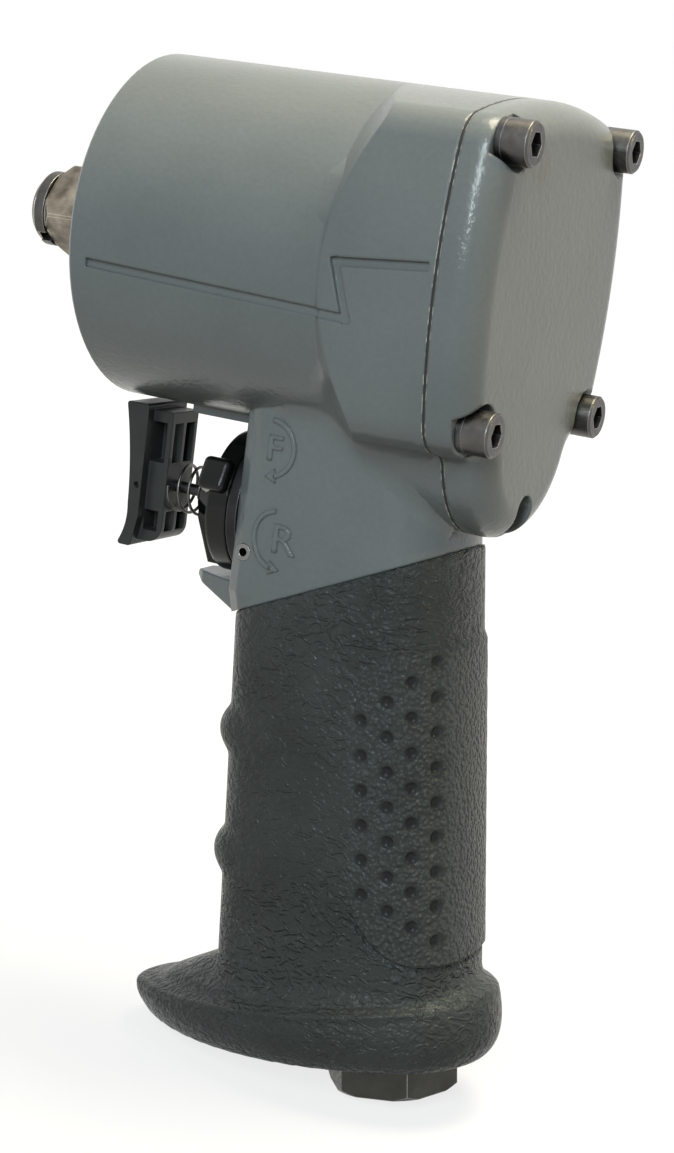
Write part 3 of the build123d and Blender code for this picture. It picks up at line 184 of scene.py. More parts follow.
def round_bar(name, radius, start, end):
    """A plain round bar between two points, in millimetres."""
    start, end = Vector(start) * MM, Vector(end) * MM
    way = end - start
    bpy.ops.mesh.primitive_cylinder_add(
        vertices=PLUG_SIDES,
        radius=radius * MM,
        depth=way.length,
        location=(start + end) / 2,
        rotation=way.to_track_quat("Z", "Y").to_euler(),
    )
    bpy.context.object.name = name
    return bpy.context.object


runout = copy_of("housing", "casting_runout")
join(runout, [round_bar(*plug) for plug in PLUGS])
print("plugged copy of the casting:", triangles(runout), "triangles")

# %% [markdown]
# A voxel Remesh rebuilds the copy as one closed skin of even squares, whatever it was made of. The Smooth
# modifier then moves every point towards its neighbours, again and again: the more rounds, the wider the
# hollows that it fills.

# %% Smooth the plugged copy
RUNOUT_CELL = 0.7
RUNOUT_ROUNDS = 110


def even_skin(piece, cell):
    """Rebuild a piece as one closed skin of even squares, of a size in millimetres."""
    remesh = piece.modifiers.new("even_skin", "REMESH")
    remesh.mode = "VOXEL"
    remesh.voxel_size = cell * MM
    settle(piece)


def smooth_skin(piece, rounds):
    """Smooth a piece; each round moves every point halfway to the middle of its neighbours."""
    smooth = piece.modifiers.new("smooth_skin", "SMOOTH")
    smooth.factor = 0.5
    smooth.iterations = rounds
    settle(piece)


even_skin(runout, RUNOUT_CELL)
smooth_skin(runout, RUNOUT_ROUNDS)
print("smoothed copy of the casting:", triangles(runout), "triangles")

# %% [markdown]
# A run-out that simply ended would show its border as a step. So the copy dives under the casting there: a
# Displace modifier moves each point along its normal by a weight of its own. The weight is small in the
# middle of the run-outs, and full at their front, top and foot and along the groove in the side, which
# stays sharp.

# %% Sink the copy towards its borders
SINK = 0.9
LEAST_SINK = 0.08  # share of it in the middle of a run-out
RUNOUT_REAR, RUNOUT_FRONT = -85.4, -47.5
RUNOUT_LOW, RUNOUT_TOP = -58, 22
LINE_LOW, LINE_HIGH = -13, 2  # heights of the groove along the side
FADE_WIDTH = 8


def eased(share):
    """A share from 0 to 1 with soft ends."""
    share = min(1, max(0, share))
    return share * share * (3 - 2 * share)


def push(piece, name, height, shares):
    """Add a Displace that moves each point along its normal by its share of a height in millimetres."""
    group = piece.vertex_groups.new(name=name)
    for at, share in enumerate(shares):
        group.add([at], share, "REPLACE")
    displace = piece.modifiers.new(name, "DISPLACE")
    displace.strength = height * MM
    displace.mid_level = 0
    displace.vertex_group = name


def sunk_share(point):
    """Share of the sinking at a point: 1 where the run-outs end, and little away from there."""
    x, y, z = point / MM
    off_line = max(LINE_LOW - z, z - LINE_HIGH)
    to_border = min(off_line, RUNOUT_TOP - z, z - RUNOUT_LOW, RUNOUT_FRONT - x)
    return max(LEAST_SINK, 1 - eased(to_border / FADE_WIDTH))


sunk = [sunk_share(vertex.co) for vertex in runout.data.vertices]
push(runout, "sink", -SINK, sunk)
settle(runout)
print("points sunk all the way:", sunk.count(1), "of", len(sunk))

# %% [markdown]
# What now lies inside the casting is never seen. Only the faces outside it are kept, with a few rings of
# neighbours whose rims dive under the surface, and a Solidify makes closed thin shells of them.

# %% Keep only the hollows it filled
MIDDLE_HALF = 9  # nothing is kept nearer to the middle plane than this
GRAZING = 0.02  # a face this little below the surface still counts
RIM_RINGS = 3  # rings of neighbours kept round each run-out
SHELL = 0.5  # thickness of the shells
casting = nodes["housing"].data
casting_tree = BVHTree.FromPolygons(
    [vertex.co for vertex in casting.vertices], [tuple(face.vertices) for face in casting.polygons]
)


def fills_a_hollow(face):
    """True where the smoothed skin stands outside the casting, near the shoulder and the neck."""
    x, y, z = face.center / MM
    if not (RUNOUT_REAR < x < RUNOUT_FRONT and RUNOUT_LOW < z < RUNOUT_TOP and abs(y) > MIDDLE_HALF):
        return False
    nearest, outwards, index, distance = casting_tree.find_nearest(face.center)
    return outwards.dot(face.center - nearest) > -GRAZING * MM


select_faces(runout, fills_a_hollow)
for ring in range(RIM_RINGS):
    bpy.ops.mesh.select_more()
bpy.ops.mesh.select_all(action="INVERT")
bpy.ops.mesh.delete(type="FACE")
end_edit()
skin = runout.modifiers.new("skin", "SOLIDIFY")
skin.thickness = SHELL * MM
skin.offset = -1
settle(runout)
bpy.ops.object.shade_smooth()
print("run-outs kept:", triangles(runout), "triangles")

# %% [markdown]
# ## The rubber grip
# The grip is moulded rubber: a leathery skin, two finger ridges, a palm panel that stands a little proud
# with columns of dimples, and a foot flange with a fine bead along its crest. Sculpting it freehand would
# drift from the solid, so a copy of the solid is remeshed to an even skin and smoothed a little. Its inner
# wall lies against the handle and is never seen, so that is thinned out.

# %% An even skin over the grip
HANDLE = Vector((-68.2, 0, -95)) * MM
RAKE = radians(8)
FORWARD = Vector((cos(RAKE), 0, -sin(RAKE)))
UPWARD = Vector((sin(RAKE), 0, cos(RAKE)))
GRIP_CELL = 0.6
GRIP_ROUNDS = 4
BORE_LOW = -44.5  # height along the handle below which no wall is thinned
BORE_LEAN = 0.35  # how clearly a face has to look inwards to be thinned
BORE_SHARE = 0.03  # share of the triangles that is left there


def handle_place(point):
    """Forward, left and up of a point along the raked handle, in millimetres."""
    away = (point - HANDLE) / MM
    return away.dot(FORWARD), away.y, away.dot(UPWARD)


def handle_point(forward, left, up):
    """The point at a place along the raked handle."""
    return HANDLE + (FORWARD * forward + Vector((0, left, 0)) + UPWARD * up) * MM


def outward(point, normal):
    """How far a normal leans away from the handle's axis, times the point's distance from the axis."""
    forward, left, up = handle_place(point)
    return normal.dot(FORWARD) * forward + normal.y * left


def in_the_bore(face):
    """True on the hidden wall that lies against the handle's core."""
    forward, left, up = handle_place(face.center)
    return up >= BORE_LOW and outward(face.center, face.normal) < -BORE_LEAN * hypot(forward, left)


grip = copy_of("grip_sleeve", "rubber_grip")
even_skin(grip, GRIP_CELL)
select_faces(grip, in_the_bore)
bpy.ops.mesh.decimate(ratio=BORE_SHARE)
end_edit()
smooth_skin(grip, GRIP_ROUNDS)
print("grip skin:", triangles(grip), "triangles")

# %% [markdown]
# The panel's edge is a straight front line with a wide round below and a smaller one above, measured along
# the handle. A signed distance to that edge gives a clean step, the same on both sides and round the back.
# The foot's crest is measured in the same way, as a height above a line that falls towards the front.

# %% Measure the palm panel and the foot's crest
PANEL_FRONT = -7.3
PANEL_LOW = -29.5
PANEL_HIGH = 24.6
PANEL_SPLAY = 0.15  # its ends open to the rear
PANEL_LOW_ROUND = 12.0
PANEL_HIGH_ROUND = 8.0
CREST_UP = -41.2  # height of the foot's crest at the handle's axis
CREST_TILT = radians(4.6)


def panel_depth(forward, up):
    """How far inside the palm panel's edge a place lies, in millimetres, negative outside."""
    behind = PANEL_FRONT - forward
    splay = PANEL_SPLAY * behind
    round_r = PANEL_LOW_ROUND if up < 0 else PANEL_HIGH_ROUND
    along = min(PANEL_HIGH + splay - up, up - PANEL_LOW + splay)
    if behind < round_r and along < round_r:
        return round_r - hypot(round_r - behind, round_r - along)
    return min(behind, along)


def crest_height(forward, up):
    """How far a place lies above the foot's crest, in millimetres."""
    return up - CREST_UP + tan(CREST_TILT) * forward


print("panel's height at its front edge in mm:", round(PANEL_HIGH - PANEL_LOW, 1))

# %% [markdown]
# The dimples stand in four columns on each side, at one pitch, and each column starts a little higher than
# the one before it. A tree of points then finds the nearest dimple of any place quickly.

# %% Place the dimples
DIMPLE_PITCH = 6.4
DIMPLE_R = 2.0
DIMPLE_COLUMNS = [  # forward, left, up of the top dimple, count
    (-9.6, 17.3, 13.9, 6),
    (-14.6, 17.0, 17.5, 7),
    (-19.1, 15.2, 21.0, 8),
    (-22.4, 11.1, 24.4, 9),
]
dimple_count = 2 * sum(count for forward, left, top, count in DIMPLE_COLUMNS)
dimples = KDTree(dimple_count)
for forward, left, top, count in DIMPLE_COLUMNS:
    for row in range(count):
        for side in (1, -1):
            wanted = handle_point(forward, side * left, top - row * DIMPLE_PITCH)
            dimples.insert(grip.closest_point_on_mesh(wanted)[1], 0)
dimples.balance()
print("dimples on both sides:", dimple_count)

# %% [markdown]
# A step or a dimple can only be as crisp as the skin is fine. A finer skin all over would make a heavy
# piece, so only the faces at the panel's edge, round the dimples and along the crest are split.

# %% Split the skin where it needs detail
EDGE_REACH = 1.6  # how far from the panel's edge the skin is split
RIM_REACH = 0.5  # and how far beyond a dimple's rim
BEAD_HALF = 0.9  # half the width of the bead, and of the groove above it


def faces_out(point, normal):
    """True on the outside of the grip, and not on the wall of its bore."""
    return outward(point, normal) > 0


def needs_detail(face):
    """True at the panel's edge, round each dimple and along the crest."""
    forward, left, up = handle_place(face.center)
    if not faces_out(face.center, face.normal):
        return False
    if abs(panel_depth(forward, up)) < EDGE_REACH:
        return True
    if abs(crest_height(forward, up) - BEAD_HALF) < 2 * BEAD_HALF:
        return True
    return dimples.find(face.center)[2] < (DIMPLE_R + RIM_REACH) * MM


select_faces(grip, needs_detail)
bpy.ops.mesh.subdivide(number_cuts=1)
end_edit()
print("grip skin with finer places:", triangles(grip), "triangles")

# %% [markdown]
# Each form is one Displace with its own weights, the share of its height that every point gets. Soft ends
# on the weights make soft edges. The panel's lower edge is a crisp step with a fine groove along it, and it
# grows soft further up. The shares of the panel and of the dimples stay on the mesh as attributes, because
# the rubber's finish changes there, and the dimples get painted shade.

# %% Push the forms out and in
PANEL_STEP = 0.6  # width of the step at the panel's lower edge
PANEL_SOFT = 1.8  # how much wider it is further up
SOFT_START = 4  # height above the panel's lower end where the step begins to widen
FADE_LENGTH = 8  # way over which it widens, and over which the bead fades out
DIMPLE_WALL = 1.25  # above 1 a dimple has a flat floor
BEAD_END = -24  # the bead fades out towards this place round the heel
PUSHES = {  # height of each form in millimetres, negative inwards
    "palm_panel": 0.6,
    "panel_groove": -0.5,
    "dimples": -1.0,
    "foot_bead": 0.5,
    "foot_groove": -0.4,
}
shares = {name: [0.0] * len(grip.data.vertices) for name in PUSHES}
for vertex in grip.data.vertices:
    if not faces_out(vertex.co, vertex.normal):
        continue
    at = vertex.index
    forward, left, up = handle_place(vertex.co)
    depth = panel_depth(forward, up)
    soft = eased((up - PANEL_LOW - SOFT_START) / FADE_LENGTH)
    shares["palm_panel"][at] = eased(depth / (PANEL_STEP + soft * PANEL_SOFT) + 0.5)
    shares["panel_groove"][at] = eased(1 - abs(depth + PANEL_STEP) / PANEL_STEP) * (1 - soft)
    out = dimples.find(vertex.co)[2] / (DIMPLE_R * MM)
    shares["dimples"][at] = eased(DIMPLE_WALL * (1 - out))
    above = crest_height(forward, up)
    shown = eased((forward - BEAD_END) / FADE_LENGTH)
    shares["foot_bead"][at] = shown * eased(1 - abs(above) / BEAD_HALF)
    shares["foot_groove"][at] = shown * eased(1 - abs(above - 2 * BEAD_HALF) / BEAD_HALF)
for name, height in PUSHES.items():
    push(grip, name, height, shares[name])
settle(grip)
for name, kept in (("pebble_share", "palm_panel"), ("pit_share", "dimples")):
    grip.data.attributes.new(name, "FLOAT", "POINT").data.foreach_set("value", shares[kept])
pick(grip)
bpy.ops.object.shade_smooth()
print("grip finished:", triangles(grip), "triangles")

# %% [markdown]
# ## The wound springs
# A coil spring is one round wire turned about an axis. A curve with a round bevel could draw it too, but
# the Screw modifier does just this with a small circle, and takes the turns and the pitch as plain numbers.
# The two cut ends are then closed and drawn out straight for one wire diameter.

# %% Wind the springs
WIRE_SIDES = 14
STEPS_A_TURN = 48
CREASE = radians(40)  # a sharper edge than this stays sharp


def turned_wire(name, radius, wire, turns, pitch, rise):
    """An open wire wound about the Z axis, its middle starting at a height, in millimetres."""
    bpy.ops.mesh.primitive_circle_add(vertices=WIRE_SIDES, radius=wire / 2 * MM, rotation=(pi / 2, 0, 0))
    spring = bpy.context.object
    spring.name = name
    bpy.ops.object.transform_apply(rotation=True)
    spring.data.transform(Matrix.Translation((radius * MM, 0, rise * MM)))
    screw = spring.modifiers.new("winding", "SCREW")
    screw.axis = "Z"
    screw.angle = 2 * pi
    screw.iterations = turns
    screw.screw_offset = pitch * MM
    screw.steps = screw.render_steps = STEPS_A_TURN
    settle(spring)
    return spring


def close_ends(spring, straight):
    """Close the two cut ends of a wire and draw them out by a length in millimetres."""
    edit_all(spring)
    bpy.ops.mesh.remove_doubles(threshold=WELD * MM)
    bpy.ops.mesh.select_all(action="DESELECT")
    bpy.ops.mesh.select_mode(type="EDGE")
    bpy.ops.mesh.select_non_manifold()
    bpy.ops.mesh.fill_holes(sides=0)
    bpy.ops.mesh.select_all(action="SELECT")
    bpy.ops.mesh.normals_make_consistent(inside=False)
    end_edit()
    select_faces(spring, lambda face: len(face.vertices) > 4)
    bpy.ops.mesh.extrude_faces_move(TRANSFORM_OT_shrink_fatten={"value": straight * MM})
    end_edit()


def wound_spring(name, radius, wire, turns, length, place, way):
    """A coil of the given outside length from a point along a direction, in millimetres."""
    end_turn = wire / (2 * pi * radius)  # the straight end, as a share of a turn
    pitch = (length - wire) / (turns + 2 * end_turn)
    spring = turned_wire(name, radius, wire, turns, pitch, wire / 2 + pitch * end_turn)
    close_ends(spring, wire)
    turn = Vector(way).to_track_quat("Z", "Y").to_matrix().to_4x4()
    spring.data.transform(Matrix.Translation(Vector(place) * MM) @ turn)
    pick(spring)
    bpy.ops.object.shade_smooth_by_angle(angle=CREASE)
    low, high = Vector(spring.bound_box[0]), Vector(spring.bound_box[6])
    print(name, triangles(spring), "triangles, box in mm", [round(x / MM, 2) for x in high - low])
    return spring


trigger_spring = wound_spring(
    "trigger_coil", radius=4.5, wire=0.6, turns=3, length=7.6, place=(-31.0, 0, -48.5), way=(1, 0, 0)
)
throttle_foot = handle_point(-7.7, 0, -14.0) / MM
throttle_spring = wound_spring(
    "throttle_coil", radius=5.4, wire=0.6, turns=4, length=15.3, place=throttle_foot, way=UPWARD
)
detent_spring = wound_spring(
    "detent_coil", radius=1.2, wire=0.3, turns=4, length=6.9, place=(-50.8, 0, -38.9), way=(1, 0, 0)
)

# %% [markdown]
# ## The marks cast into the neck
# An F and an R, each with a curved arrow, tell which way the dial turns the drive. They are cast a little
# proud in the same paint. The loaded neck is never changed, so they are a piece of their own, first drawn
# flat beside it. A letter is a text made into a mesh. An arrow is one short edge, spun about a centre,
# and a three-sided head.

# %% Letters and arrows
MARK_SIDE = 30  # how far to the left of the middle plane the flat marks are drawn
MARK_WIDTH = 0.9  # of an arrow's line
ARROW_HEAD_R = 1.5
ARROW_STEPS = 24
LETTER_STRETCH = 1.2
CAPITAL_SHARE = 0.69  # height of a capital letter as a share of the font's size
LETTER_SWELL = 0.012  # how much bolder a letter gets, as a share of its height


def letter(character, x, z, height):
    """A flat letter on the left side, its lower front corner at x and z, in millimetres."""
    corner = Vector((x, MARK_SIDE, z)) * MM
    bpy.ops.object.text_add(location=corner, rotation=(pi / 2, 0, pi))
    text = bpy.context.object
    text.data.body = character
    text.data.size = height / CAPITAL_SHARE * MM
    text.data.offset = LETTER_SWELL * height * MM
    text.scale.x = LETTER_STRETCH
    text.data.resolution_u = 4
    bpy.ops.object.convert(target="MESH")
    bpy.ops.object.transform_apply(location=True, rotation=True, scale=True)
    return bpy.context.object


def short_edge():
    """One edge along X as long as an arrow's line is wide: the lower side of a plane."""
    bpy.ops.mesh.primitive_plane_add(size=MARK_WIDTH * MM, rotation=(pi / 2, 0, 0))
    piece = bpy.context.object
    bpy.ops.object.transform_apply(location=True, rotation=True, scale=True)
    edit_all(piece)
    bpy.ops.mesh.delete(type="ONLY_FACE")
    end_edit()
    for vertex in piece.data.vertices:
        vertex.select = vertex.co.z > 0
    bpy.ops.object.mode_set(mode="EDIT")
    bpy.ops.mesh.delete(type="VERT")
    end_edit()
    return piece


def curved_arrow(x, z, radius, start, sweep):
    """A flat curved arrow about a centre on the left side; angles rise from the front, in degrees."""
    arrow = short_edge()
    centre = Vector((x, MARK_SIDE, z)) * MM
    turn = Matrix.Rotation(-radians(start), 4, "Y")
    arrow.data.transform(Matrix.Translation(centre) @ turn @ Matrix.Translation((radius * MM, 0, 0)))
    edit_all(arrow)
    bpy.ops.mesh.spin(steps=ARROW_STEPS, angle=radians(sweep), center=centre, axis=(0, 1, 0))
    end_edit()
    end = radians(start + sweep)
    tip = centre + Vector((cos(end), 0, sin(end))) * radius * MM
    ahead = radians(start + sweep + (90 if sweep > 0 else -90))
    bpy.ops.mesh.primitive_circle_add(
        vertices=3, radius=ARROW_HEAD_R * MM, fill_type="NGON", rotation=(pi / 2, 0, 0)
    )
    head = bpy.context.object
    bpy.ops.object.transform_apply(rotation=True)
    head.data.transform(Matrix.Translation(tip) @ Matrix.Rotation(pi / 2 - ahead, 4, "Y"))
    join(arrow, [head])
    return arrow


neck_marks = letter("F", x=-49.8, z=-37.0, height=4.6)
neck_marks.name = "neck_marks"
others = [
    curved_arrow(x=-50.8, z=-34.8, radius=5.1, start=95, sweep=165),
    letter("R", x=-52.9, z=-53.4, height=5.2),
    curved_arrow(x=-54.4, z=-51.2, radius=5.3, start=85, sweep=-170),
]
join(neck_marks, others)
print("flat marks:", triangles(neck_marks), "triangles")

# %% [markdown]
# The flat marks are split into small triangles, so that they can follow a curve. A Shrinkwrap that looks
# along the Y axis lays them on the neck, and a Solidify gives them their height, with a root under the
# paint so that no gap shows.

# %% Lay the marks on the neck
MARK_CUTS = 3
MARK_THICKNESS = 0.56
MARK_OFFSET = 0.2  # from -1, all of it under the surface, to 1, all of it above
edit_all(neck_marks)
bpy.ops.mesh.quads_convert_to_tris()
bpy.ops.mesh.subdivide(number_cuts=MARK_CUTS)
end_edit()
wrap = neck_marks.modifiers.new("wrap", "SHRINKWRAP")
wrap.target = nodes["housing"]
wrap.wrap_method = "PROJECT"
wrap.use_project_y = True
wrap.use_negative_direction = True
wrap.use_positive_direction = False
settle(neck_marks)
edit_all(neck_marks)
bpy.ops.mesh.normals_make_consistent(inside=False)
end_edit()
if sum(face.normal.y for face in neck_marks.data.polygons) < 0:
    neck_marks.data.flip_normals()
thicken = neck_marks.modifiers.new("height", "SOLIDIFY")
thicken.thickness = MARK_THICKNESS * MM
thicken.offset = MARK_OFFSET
settle(neck_marks)
print("marks:", triangles(neck_marks), "triangles")

# %% [markdown]
# ## Finishes
# Every finish is a small tree of nodes on Object coordinates, so its grain has a real size and stays put
# when a piece moves. The helpers add a node, set its values and link its inputs in one line. Sizes, depths
# and radii in the recipes are in millimetres, and tones are linear red, green and blue.

# %% Node helpers
MIX_COLOURS = (6, 7)  # the two colour inputs of a Mix node
MIX_RESULT = 2  # and its colour output


def plug(tree, node, inputs):
    """Set a node's inputs; each is either a value or the output of another node."""
    for key, value in inputs.items():
        if isinstance(value, bpy.types.NodeSocket):
            tree.links.new(value, node.inputs[key])
        else:
            node.inputs[key].default_value = value


def add(tree, kind, inputs=None, **settings):
    """A new shader node with its settings and inputs."""
    node = tree.nodes.new("ShaderNode" + kind)
    for key, value in settings.items():
        setattr(node, key, value)
    plug(tree, node, inputs or {})
    return node


def new_finish(name, roughness, metallic=0.0, specular=0.5):
    """A material with one shader, and its node tree, shader and Object coordinates."""
    material = bpy.data.materials.new(name)
    material.use_nodes = True
    tree = material.node_tree
    shader = tree.nodes["Principled BSDF"]
    plug(tree, shader, {"Roughness": roughness, "Metallic": metallic, "Specular IOR Level": specular})
    place = add(tree, "TexCoord").outputs["Object"]
    return material, tree, shader, place


def grain(tree, place, size, detail=2.0, distortion=0.0):
    """Noise whose lumps are about so many millimetres across."""
    return add(
        tree,
        "TexNoise",
        {"Vector": place, "Scale": 1 / (size * MM), "Detail": detail, "Distortion": distortion},
    ).outputs["Fac"]


def ramp(tree, value, *stops):
    """Colours along a value; each stop is a position and a colour."""
    node = add(tree, "ValToRGB", {"Fac": value})
    for element, (position, colour) in zip(node.color_ramp.elements, stops):
        element.position = position
        element.color = (*colour, 1)
    return node.outputs["Color"]


def spread(tree, value, low, high, to_low, to_high, curve="LINEAR"):
    """A value carried from one range to another."""
    return add(
        tree,
        "MapRange",
        {"Value": value, "From Min": low, "From Max": high, "To Min": to_low, "To Max": to_high},
        interpolation_type=curve,
    ).outputs["Result"]


def product(tree, first, second):
    """Two values multiplied."""
    return add(tree, "Math", {0: first, 1: second}, operation="MULTIPLY").outputs[0]


def total(tree, first, second):
    """Two values added."""
    return add(tree, "Math", {0: first, 1: second}, operation="ADD").outputs[0]


def unsigned(tree, value):
    """A value without its sign."""
    return add(tree, "Math", {0: value}, operation="ABSOLUTE").outputs[0]


def mixed(tree, share, first, second, blend="MIX"):
    """Two colours mixed by a share."""
    inputs = {"Factor": share}
    for socket, colour in zip(MIX_COLOURS, (first, second)):
        linked = isinstance(colour, bpy.types.NodeSocket)
        inputs[socket] = colour if linked else (*colour, 1)
    return add(tree, "Mix", inputs, data_type="RGBA", blend_type=blend).outputs[MIX_RESULT]


# %% [markdown]
# Bumps and edges only bend the light: a Bump node tilts the shading by a height pattern, and a Bevel node
# rounds an edge by a small radius. Where the rounded shading and the true face differ there is an edge, so
# comparing the two finds the places that wear first.

# %% Helpers for bumps and edges
BEVEL_SAMPLES = 6
EDGE_FROM, EDGE_FULL = 0.985, 0.86  # agreement of the two normals where an edge begins and where it is full


def bumps(tree, height, depth, strength, under=None):
    """Normal of a surface with bumps of a depth in millimetres."""
    inputs = {"Height": height, "Distance": depth * MM, "Strength": strength}
    if under is not None:
        inputs["Normal"] = under
    return add(tree, "Bump", inputs).outputs["Normal"]


def soft_edge(tree, radius):
    """Normal that rounds every edge by a radius in millimetres."""
    return add(tree, "Bevel", {"Radius": radius * MM}, samples=BEVEL_SAMPLES).outputs["Normal"]


def edge_share(tree, radius):
    """Share that is 1 on edges and 0 on flat ground."""
    rounded = soft_edge(tree, radius)
    flat = add(tree, "NewGeometry").outputs["Normal"]
    level = add(tree, "VectorMath", {0: rounded, 1: flat}, operation="DOT_PRODUCT").outputs["Value"]
    return spread(tree, level, EDGE_FROM, EDGE_FULL, 0, 1)


# %% [markdown]
# The casting has a satin grey paint over a fine sand-cast skin, with a thin gloss whose orange peel breaks
# a lamp's reflection into a mottled streak. The paint is worn to bare metal on the drum's front rim, and in
# specks along the cover's parting. One flat grey would look like plastic, so a broad cloud and a fine speck
# vary the tone.

# %% Grey paint of the casting
DRUM_RIM = -13.7  # place of the worn rim along the tool
PARTING = -86  # and of the cover's parting
BARE_METAL = (0.62, 0.61, 0.57)
DARK_GREY, LIGHT_GREY = (0.121, 0.136, 0.137), (0.144, 0.160, 0.161)


def near_plane(tree, place, x, reach):
    """Share that is 1 at a place along the tool and 0 a little beyond the reach, in millimetres."""
    along = add(tree, "SeparateXYZ", {0: place}).outputs["X"]
    away = unsigned(tree, total(tree, along, -x * MM))
    return spread(tree, away, reach * MM, 1.8 * reach * MM, 1, 0)


def grey_paint():
    """Satin grey paint under a thin gloss with an orange peel."""
    material, tree, shader, place = new_finish("grey_paint", 0.36, specular=0.12)
    cloud = grain(tree, place, 26, 3)
    speck = grain(tree, place, 0.9, 4)
    base = ramp(tree, cloud, (0.3, DARK_GREY), (0.7, LIGHT_GREY))
    fine = ramp(tree, speck, (0.3, (0.96, 0.96, 0.96)), (0.7, (1.03, 1.03, 1.03)))
    tone = mixed(tree, 1.0, base, fine, blend="MULTIPLY")
    broken = spread(tree, grain(tree, place, 1.6, 4), 0.47, 0.56, 0, 1)
    parting = product(tree, near_plane(tree, place, PARTING, 0.8), broken)
    worn = total(tree, near_plane(tree, place, DRUM_RIM, 0.5), parting)
    bare = product(tree, edge_share(tree, 0.4), worn)
    rounded = soft_edge(tree, 0.8)
    peel = grain(tree, place, 1.3, 3)
    skin = bumps(tree, peel, 0.09, 0.5, rounded)
    inputs = {
        "Base Color": mixed(tree, bare, tone, BARE_METAL),
        "Metallic": product(tree, bare, 0.7),
        "Roughness": spread(tree, speck, 0.3, 0.7, 0.29, 0.36),
        "Normal": bumps(tree, grain(tree, place, 9, 2), 0.35, 0.12, skin),
        "Coat Weight": 0.42,
        "Coat Roughness": 0.15,
        "Coat Normal": bumps(tree, peel, 0.16, 1.0, rounded),
    }
    plug(tree, shader, inputs)
    return material


# %% [markdown]
# The rubber has two textures. Most of it is a leather of short, worm-like wrinkles, made by keeping only
# the middle level of a noise, where its contour lines run. Inside the palm panel the skin is a fine pebble
# from a cell pattern, a little paler on the tops: a painted highlight for their glints, with some rubbing
# wear. The dimples are smooth and darkened by painted shade, with some dirt. The grip carries the shares of
# the panel and of the dimples as attributes.

# %% Moulded rubber
PEBBLE = 0.75
DARK_RUBBER, LIGHT_RUBBER = (0.035, 0.0395, 0.038), (0.052, 0.058, 0.056)
# Real dust, then a painted highlight for the pebble tops with some rubbing wear, then painted shade with
# some dirt for the pits.
DUST, PEBBLE_SHEEN_AND_RUB, PIT_SHADE_AND_DIRT = (0.09, 0.098, 0.095), (0.10, 0.111, 0.112), (0.009, 0.009, 0.009)


def leather_height(tree, place, uneven):
    """Height of short wrinkles along the contour lines of a noise, on uneven ground."""
    flat = add(tree, "Mapping", {"Vector": place, "Scale": (1.0, 1.0, 1.6)}).outputs["Vector"]
    worm = grain(tree, flat, 3.0, 1.0, 0.8)
    line = unsigned(tree, total(tree, worm, -0.5))
    ridge = spread(tree, line, 0.0, 0.15, 1.0, 0.0, curve="SMOOTHSTEP")
    patchy = spread(tree, grain(tree, place, 14, 2), 0.4, 0.6, 0.5, 1.2)
    return total(tree, product(tree, ridge, patchy), product(tree, uneven, 1.6))


def moulded_rubber():
    """Leathery rubber with a pebbled palm panel, painted highlight on the pebble tops and painted shade in
    the dimples.
    """
    material, tree, shader, place = new_finish("moulded_rubber", 0.3, specular=0.11)
    panel = add(tree, "Attribute", attribute_name="pebble_share").outputs["Fac"]
    pit = add(tree, "Attribute", attribute_name="pit_share").outputs["Fac"]
    uneven = grain(tree, place, 1.2, 2)
    leather = leather_height(tree, place, uneven)
    cells = {"Vector": place, "Scale": 1 / (PEBBLE * MM)}
    pebble = add(tree, "TexVoronoi", cells, feature="SMOOTH_F1").outputs["Distance"]
    grains = product(tree, pebble, -2.8)
    height = add(tree, "Mix", {"Factor": panel, "A": leather, "B": grains}).outputs["Result"]
    height = product(tree, height, spread(tree, pit, 0, 0.5, 1, 0))
    tone = ramp(tree, grain(tree, place, 18, 3), (0.3, DARK_RUBBER), (0.7, LIGHT_RUBBER))
    dust = spread(tree, grain(tree, place, 0.8, 5), 0.60, 0.8, 0, 0.4)
    tone = mixed(tree, dust, tone, DUST)
    # Paler pebble tops: a painted highlight standing in for their glints, with some rubbing wear.
    pebble_sheen_and_rub = product(tree, panel, spread(tree, pebble, 0.12, 0.45, 0.45, 0))
    tone = mixed(tree, pebble_sheen_and_rub, tone, PEBBLE_SHEEN_AND_RUB)
    inputs = {
        # Darker towards the middle of each dimple: painted shade in the pits, with some dirt.
        "Base Color": mixed(tree, product(tree, pit, 0.75), tone, PIT_SHADE_AND_DIRT),
        "Roughness": spread(tree, uneven, 0.3, 0.7, 0.23, 0.36),
        "Normal": bumps(tree, height, 0.3, 0.9),
    }
    plug(tree, shader, inputs)
    return material


# %% [markdown]
# The trigger is a satin black plastic with a faint mould texture. The dial is a deeper black and polished:
# its gloss comes from very little roughness. One recipe makes both, with soft edges and a few paler scuffs.


# %% Black plastics
def black_plastic(name, tone, roughness, specular, texture, edge_r):
    """Black plastic of a gloss, with a mould texture of a strength and rounded edges."""
    material, tree, shader, place = new_finish(name, roughness, specular=specular)
    darker = tuple(0.75 * level for level in tone)
    paler = tuple(2.2 * level for level in tone)
    cloud = grain(tree, place, 5, 3)
    scuffed = spread(tree, grain(tree, place, 0.6, 5, 1.0), 0.64, 0.78, 0, 0.3)
    colour = ramp(tree, cloud, (0.3, darker), (0.7, tone))
    inputs = {
        "Base Color": mixed(tree, scuffed, colour, paler),
        "Roughness": spread(tree, cloud, 0.3, 0.7, roughness * 0.85, roughness * 1.2),
        "Normal": bumps(tree, grain(tree, place, 0.5, 2), 0.03, texture, soft_edge(tree, edge_r)),
    }
    plug(tree, shader, inputs)
    return material


# %% [markdown]
# The metals differ in colour, in gloss and in the size of their marks: a turned part has fine rings across
# its axis, a blackened screw is nearly even, a casting is rough. One recipe takes those as numbers.

# %% Metals
WORN_STEEL = (0.5, 0.5, 0.48)
ALONG_RINGS, ACROSS_RINGS = 30.0, 9000.0  # how far the rings' noise is squeezed, per metre


